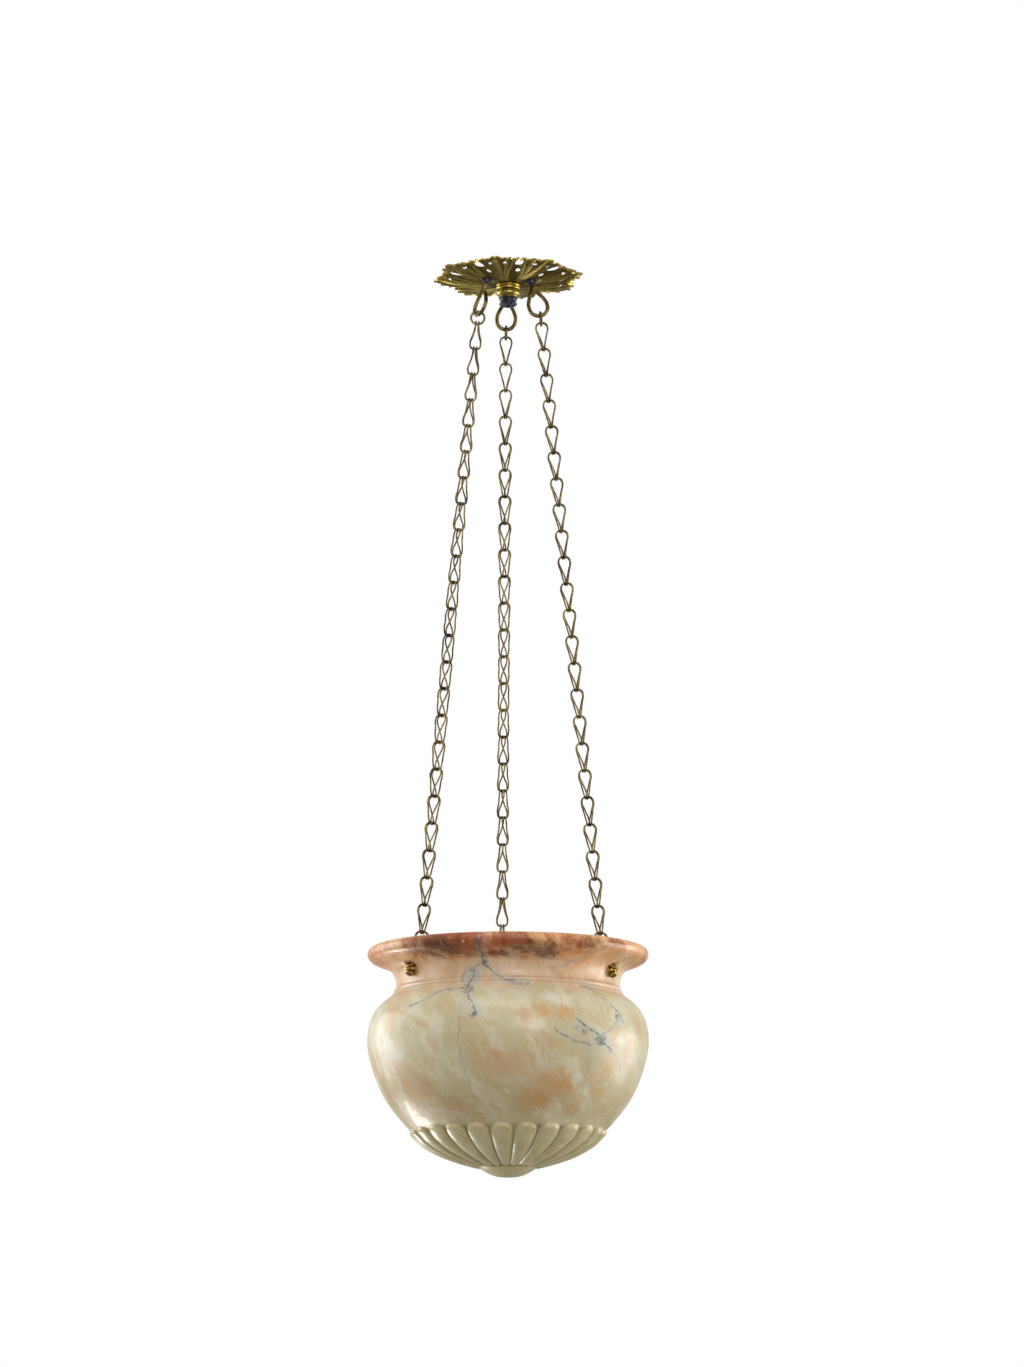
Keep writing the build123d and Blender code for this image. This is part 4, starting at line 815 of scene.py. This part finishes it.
bpy.ops.object.mode_set(mode="OBJECT")
if sum(face.normal.z for face in rose.data.polygons) > 0:
    rose.data.flip_normals()
skin = rose.modifiers.new("casting_wall", "SOLIDIFY")
skin.thickness, skin.offset = ROSE_SKIN, -1
bpy.ops.object.modifier_apply(modifier=skin.name)
bpy.ops.object.shade_smooth_by_angle(angle=radians(60))


def placed(piece, spot, direction):
    """Works a piece's place into its mesh: its own Z along direction, its foot at spot."""
    place = direction.to_track_quat("Z", "Y").to_matrix().to_4x4()
    place.translation = spot
    piece.data.transform(place)
    return piece


pads = []
for side in SIDES:  # a cast pad on the back of the wall at each hook
    foot, up = hook_axes[side]
    pad = turned(f"pad_{side}", [(1, [(0.0022, 0.0009), (0.0062, 0.0009), (0.0060, 0.0024), (0.0055, 0.0029),
                                      (0.0022, 0.0029), (0.0022, 0.0009)])], 36)
    pads.append(placed(pad, foot, up))
rose = joined("rose_acanthus", [rose] + pads)
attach(rose, "rose")
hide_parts("ceiling_rose")

gilt = Shader("toned_gilt", Metallic=1.0)
blotch = gilt.math("SUBTRACT", gilt.noise(gilt.place, 90.0, 6.0, 0.62), 0.5)
lit = gilt.math("ADD", gilt.marked("ridges"), blotch)
# The ridges and the curled tips are painted brighter and glossier, as highlights, over the dark toned ground.
gold = gilt.over(
    tone(98, 84, 34),
    (gilt.ramp(lit, 0.0, 0.5), tone(152, 136, 72)),
    (gilt.ramp(lit, 0.5, 1.05), tone(210, 182, 88)),
    (gilt.cloud(gilt.place, 48.0, 5.0, 0.6, 0.48, 0.68, 0.0, 0.7), tone(84, 78, 50)),
)
gilt.set(Base_Color=gold, Roughness=gilt.ramp(lit, 0.0, 0.9, 0.52, 0.32, "LINEAR"))
gilt.bump(gilt.noise(gilt.place, 420.0, 4.0, 0.6), 0.00012, 0.6)
put_on(rose, gilt)

# ================================================================ collar and bush
# A turned brass collar closes the middle of the rose, and a dark bush at its foot keeps the flex off
# the metal. Both are screwed up the hollow stem.


def under_rose(*knots):
    """Knots given as millimetres of radius and of depth below the rose's seat."""
    return [(radius / 1000, ROSE_SEAT_Z - depth / 1000) for radius, depth in knots]


collar = turned("turned_collar", [
    (1, under_rose((5.1, 0.02), (11.9, 0.02))),
    (4, under_rose((11.9, 0.02), (12.5, 0.7), (12.3, 1.5), (11.6, 1.9))),
    (4, under_rose((11.6, 1.9), (12.1, 2.6), (12.4, 3.7), (12.0, 4.8), (11.2, 5.3))),
    (4, under_rose((11.2, 5.3), (9.9, 5.7), (9.5, 6.3), (10.2, 6.8))),
    (5, under_rose((10.2, 6.8), (11.6, 7.8), (11.9, 9.2), (11.2, 10.9), (9.9, 12.4), (9.5, 13.2))),
    (3, under_rose((9.5, 13.2), (9.9, 13.6), (9.6, 13.98))),
    (1, under_rose((9.6, 13.98), (5.1, 13.98), (5.1, 0.02))),
], 96)
HIGHLIGHT_RADIUS = 0.0113  # what stands further out is painted brighter, as a highlight
collar_highlights = [1.0 if hypot(v.co.x, v.co.y) > HIGHLIGHT_RADIUS else 0.3 for v in collar.data.vertices]
mark(collar, "ridges", collar_highlights)
put_on(collar, gilt)
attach(collar, "rose")
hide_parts("rose_collar")

bush = turned("flex_bush", [
    (1, under_rose((5.1, 14.02), (8.5, 14.02))),
    (4, under_rose((8.5, 14.02), (9.2, 14.6), (9.2, 15.6), (8.5, 16.2))),
    (4, under_rose((8.5, 16.2), (8.1, 17.6), (8.4, 19.0))),
    (4, under_rose((8.4, 19.0), (9.2, 19.5), (9.3, 20.4), (8.7, 21.2))),
    (4, under_rose((8.7, 21.2), (7.4, 22.2), (5.4, 22.5), (3.9, 22.4), (3.0, 21.4))),
    (1, under_rose((3.0, 21.4), (3.0, 18.9), (5.1, 17.6), (5.1, 14.02))),
], 72)
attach(bush, "rose")
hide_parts("outlet_bush")

dark_bronze = Shader("dark_bronze", Metallic=0.75, Coat_Weight=0.3, Coat_Roughness=0.25)
rubbed = dark_bronze.noise(dark_bronze.place, 260.0, 5.0, 0.62)
smoky = dark_bronze.over(
    tone(44, 46, 58),
    (dark_bronze.ramp(rubbed, 0.36, 0.62), tone(72, 76, 92)),
    (dark_bronze.ramp(rubbed, 0.62, 0.8, 0.0, 0.5), tone(120, 112, 92)),
)
dark_bronze.set(Base_Color=smoky, Roughness=dark_bronze.ramp(rubbed, 0.3, 0.7, 0.34, 0.55, "LINEAR"))
dark_bronze.bump(dark_bronze.noise(dark_bronze.place, 900.0, 3.0), 0.00004, 0.5)
put_on(bush, dark_bronze)

SHARP_EDGE = radians(30)


def fitted(node, name, body, shader, soften=0.0):
    """A fitted part as it was made, merged to one skin, with its machined edges eased."""
    select_none()
    piece = nodes[node].copy()
    piece.data = nodes[node].data.copy()
    piece.name = piece.data.name = name
    bpy.context.collection.objects.link(piece)
    piece.select_set(True)
    bpy.context.view_layer.objects.active = piece
    edit_all()
    bpy.ops.mesh.remove_doubles(threshold=0.000004)
    bpy.ops.mesh.dissolve_limited(angle_limit=radians(0.6))
    bpy.ops.object.mode_set(mode="OBJECT")
    if soften:
        eased = piece.modifiers.new("eased_edges", "BEVEL")
        eased.width, eased.segments, eased.angle_limit = soften, 2, SHARP_EDGE
        bpy.ops.object.modifier_apply(modifier=eased.name)
    bpy.ops.object.shade_smooth_by_angle(angle=SHARP_EDGE)
    put_on(piece, shader)
    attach(piece, body)
    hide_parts(node)


fitted("hook_collars", "hook_seats", "rose", dark_bronze, 0.00035)
fitted("hook_nuts", "hook_hex_nuts", "rose", dark_bronze, 0.00035)

# ================================================================ ceiling strap and hollow stem
# A pressed steel strap is screwed to the ceiling, and a hollow threaded stem hangs in it by a nut.
# The strap and the stem are zinc plated, the nut is brass, and all of it is out of sight above the rose.
zinc = Shader("zinc_plate", Metallic=1.0)
spangle = zinc.node("TexVoronoi", {"feature": "F1"}, Vector=zinc.place, Scale=260.0)
drawn = zinc.node("Mapping", Vector=zinc.place, Scale=(0.12, 1.0, 1.0)).outputs["Vector"]
brushed = zinc.noise(drawn, 900.0, 4.0, 0.6)
flake = zinc.node("SeparateColor", Color=spangle.outputs["Color"]).outputs["Red"]
stale = zinc.cloud(zinc.place, 60.0, 5.0, 0.5, 0.52, 0.72, 0.0, 0.5)
plate = zinc.over(tone(188, 186, 180), (flake, tone(214, 213, 208)), (stale, tone(186, 174, 138)))
zinc.set(Base_Color=plate, Roughness=zinc.ramp(brushed, 0.3, 0.7, 0.26, 0.46, "LINEAR"))
zinc.bump(brushed, 0.00004, 0.6)
fitted("ceiling_strap", "pressed_strap", "rose", zinc, 0.0003)
fitted("hollow_stem", "threaded_stem", "rose", zinc, 0.0003)
fitted("strap_nut", "strap_hex_nut", "rose", aged, 0.0003)

# ================================================================ hook bolts and knobs
# A brass hook bolt comes in through the neck under each chain. Inside, a washer and a nut hold it to
# the stone, and outside it ends in a cast knob, fluted like a bud, with its ridges rubbed bright.
for side in SIDES:
    fitted(f"bowl_hook_{side}", f"hook_bolt_{side}", "bowl", aged, 0.0004)
fitted("bolt_washers", "stone_washers", "bowl", aged, 0.0003)
fitted("bolt_nuts", "bolt_hex_nuts", "bowl", aged, 0.0003)

KNOB_LOBES = 8
FLUTE_DEPTH = 0.17  # as a share of the radius
BUD_RADIUS = 0.0029  # the plain bud at the knob's tip
knob = turned("knob", [
    (1, [(0.0024, 0.0001), (0.0061, 0.0001)]),
    (3, [(0.0061, 0.0001), (0.0066, 0.0005), (0.0064, 0.0010), (0.0060, 0.0013)]),
    (5, [(0.0060, 0.0013), (0.0072, 0.0023), (0.0073, 0.0034), (0.0066, 0.0050), (0.0050, 0.0066),
         (0.0032, 0.0075)]),
    (4, [(0.0032, 0.0075), (0.0026, 0.0074), (0.0023, 0.0078), (0.0018, 0.0084), (0, 0.0086)]),
    (1, [(0, 0.0061), (0.0024, 0.0061), (0.0024, 0.0001)]),
], KNOB_LOBES * 12)
knob_shine = []
for vertex in knob.data.vertices:
    radius, turn = hypot(vertex.co.x, vertex.co.y), atan2(vertex.co.x, vertex.co.y)
    lobe = abs(cos(KNOB_LOBES / 2 * turn))
    fluted = smooth(vertex.co.z, 0.0012, 0.0024) * smooth(vertex.co.z, 0.0078, 0.0070)
    if radius <= BUD_RADIUS:
        fluted = 0
    vertex.co.xy *= 1 - FLUTE_DEPTH * fluted * (1 - lobe ** 0.7)
    knob_shine.append(fluted * (1 - lobe) if fluted else 0.15)
mark(knob, "flutes", knob_shine)
knob_brass = Shader("rubbed_knob_brass", Metallic=1.0)
pitted = knob_brass.noise(knob_brass.place, 500.0, 5.0, 0.6)
warm = knob_brass.over(
    tone(196, 158, 88),
    (knob_brass.ramp(pitted, 0.36, 0.66), tone(136, 106, 56)),
    (knob_brass.ramp(knob_brass.marked("flutes"), 0.1, 0.8), tone(66, 48, 28)),
)
knob_brass.set(Base_Color=warm, Roughness=knob_brass.ramp(pitted, 0.3, 0.7, 0.2, 0.4, "LINEAR"))
knob_brass.bump(pitted, 0.00008, 0.5)
put_on(knob, knob_brass)
for side in SIDES:
    fluted_knob = copy_at(knob, Matrix())
    fluted_knob.name = fluted_knob.data.name = f"fluted_knob_{side}"
    placed(fluted_knob, BOLT_DIRECTIONS[side] * KNOB_SEAT + Vector((0, 0, BOLT_Z)), BOLT_DIRECTIONS[side])
    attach(fluted_knob, "bowl")
    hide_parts(f"knob_{side}")
bpy.data.objects.remove(knob)

# ================================================================ lamp in the bowl
# A three-armed steel bracket on the same bolts carries a brass lampholder, cap up, with its moulded
# shade ring and cord grip, and an opal lamp points down into the bowl.
satin = Shader("satin_brass", Metallic=1.0)
spun = satin.node("Mapping", Vector=satin.place, Scale=(1.0, 1.0, 14.0)).outputs["Vector"]
lathe = satin.noise(spun, 160.0, 3.0, 0.6)
handled = satin.cloud(satin.place, 70.0, 5.0, 0.6, 0.4, 0.66)
yellow = satin.mix(handled, tone(206, 176, 108), tone(168, 134, 76))
satin.set(Base_Color=yellow, Roughness=satin.ramp(lathe, 0.3, 0.7, 0.22, 0.42, "LINEAR"))
satin.bump(lathe, 0.00004, 0.5)
moulded = Shader("moulded_phenolic", IOR=1.55, Coat_Weight=0.4, Coat_Roughness=0.12)
swirl = moulded.noise(moulded.place, 90.0, 6.0, 0.6, Distortion=2.0)
moulded.set(Base_Color=moulded.mix(moulded.ramp(swirl, 0.42, 0.66), tone(40, 30, 26), tone(74, 48, 34)),
            Roughness=moulded.ramp(swirl, 0.3, 0.7, 0.22, 0.36, "LINEAR"))
moulded.bump(moulded.noise(moulded.place, 1200.0, 2.0), 0.00002, 0.5)
cap_metal = Shader("rolled_aluminium", Metallic=1.0)
rolled_thread = cap_metal.node("TexWave", {"wave_type": "BANDS", "bands_direction": "Z"},
                               Vector=cap_metal.place, Scale=90.0, Distortion=0.4).outputs["Fac"]
cap_metal.set(Base_Color=cap_metal.mix(rolled_thread, tone(176, 176, 176), tone(224, 224, 222)),
              Roughness=cap_metal.ramp(rolled_thread, 0.0, 1.0, 0.42, 0.26, "LINEAR"))
cap_metal.bump(rolled_thread, 0.00025, 0.8)
opal = Shader("opal_glass", IOR=1.5, Transmission_Weight=0.25, Subsurface_Weight=0.5, Subsurface_Scale=0.01)
milky = opal.noise(opal.place, 40.0, 4.0, 0.5)
opal.set(Base_Color=opal.mix(opal.ramp(milky, 0.35, 0.65), tone(238, 236, 230), tone(246, 245, 241)),
         Roughness=opal.ramp(milky, 0.3, 0.7, 0.12, 0.2, "LINEAR"))

for node, name, slot, shader in (
    ("lamp_bracket", "three_armed_bracket", "zinc_steel", zinc),
    ("holder_stem", "holder_nipple", "zinc_steel", zinc),
    ("holder_nut", "holder_hex_nut", "aged_brass", aged),
    ("cord_grip", "moulded_cord_grip", "dark_phenolic", moulded),
    ("holder_cap", "spun_holder_cap", "holder_brass", satin),
    ("holder_body", "spun_holder_body", "holder_brass", satin),
    ("shade_ring", "moulded_shade_ring", "dark_phenolic", moulded),
    ("lamp_cap", "threaded_lamp_cap", "lamp_cap_metal", cap_metal),
):
    fitted(node, name, "bowl", shader, 0.0003)
fitted("lamp_glass", "opal_lamp", "bowl", opal)

# ================================================================ stage and light
# A pale floor well under the light, and a plain white surround with soft boxes at both sides.
FLOOR_Z = -1.9
bpy.ops.mesh.primitive_plane_add(size=24, location=(0, 0, FLOOR_Z))
floor = bpy.context.object
floor.name = "floor"
paper = Shader("pale_floor", Roughness=0.8)
watched = paper.node("LightPath").outputs["Is Camera Ray"]
fibre = paper.noise(paper.place, 3.0, 3.0)
white = paper.mix(fibre, tone(233, 232, 229), tone(238, 237, 234))
paper.set(Base_Color=paper.mix(watched, tone(146, 143, 138), white))
paper.set(Emission_Strength=paper.ramp(watched, 0.0, 1.0, 0.0, 0.7, "LINEAR"))
paper.surface.inputs["Emission Color"].default_value = tone(255, 254, 252)
put_on(floor, paper)

world = bpy.data.worlds.new("surround")
bpy.context.scene.world = world
world.use_nodes = True
sky = world.node_tree
backdrop = sky.nodes["Background"]
backdrop.inputs["Color"].default_value = (1, 1, 1, 1)
path = sky.nodes.new("ShaderNodeLightPath")
seen = sky.nodes.new("ShaderNodeMapRange")
sky.links.new(path.outputs["Is Camera Ray"], seen.inputs["Value"])
seen.inputs["To Min"].default_value = 0.6
seen.inputs["To Max"].default_value = 1.0
sky.links.new(seen.outputs["Result"], backdrop.inputs["Strength"])


def soft_box(name, spot, width, height, watts, aim=(0, 0, -0.8)):
    """An area lamp, aimed at the light."""
    bpy.ops.object.light_add(type="AREA", location=spot)
    lamp = bpy.context.object
    lamp.name = name
    lamp.data.shape = "RECTANGLE"
    lamp.data.size, lamp.data.size_y = width, height
    lamp.data.energy = watts
    lamp.rotation_euler = (Vector(spot) - Vector(aim)).to_track_quat("Z", "Y").to_euler()


soft_box("left_box", (-2.75, 1.5, -0.5), 2.2, 2.2, 60)
soft_box("right_box", (2.75, 0.6, -1.15), 2.0, 1.4, 46)
soft_box("top_box", (-0.4, -1.4, 1.3), 1.6, 1.0, 12)
soft_box("low_left_box", (-0.86, 1.04, -1.72), 0.45, 0.45, 8, aim=(-0.09, 0, -0.87))
soft_box("front_box", (0.7, -3.5, 0.0), 1.4, 1.6, 31)
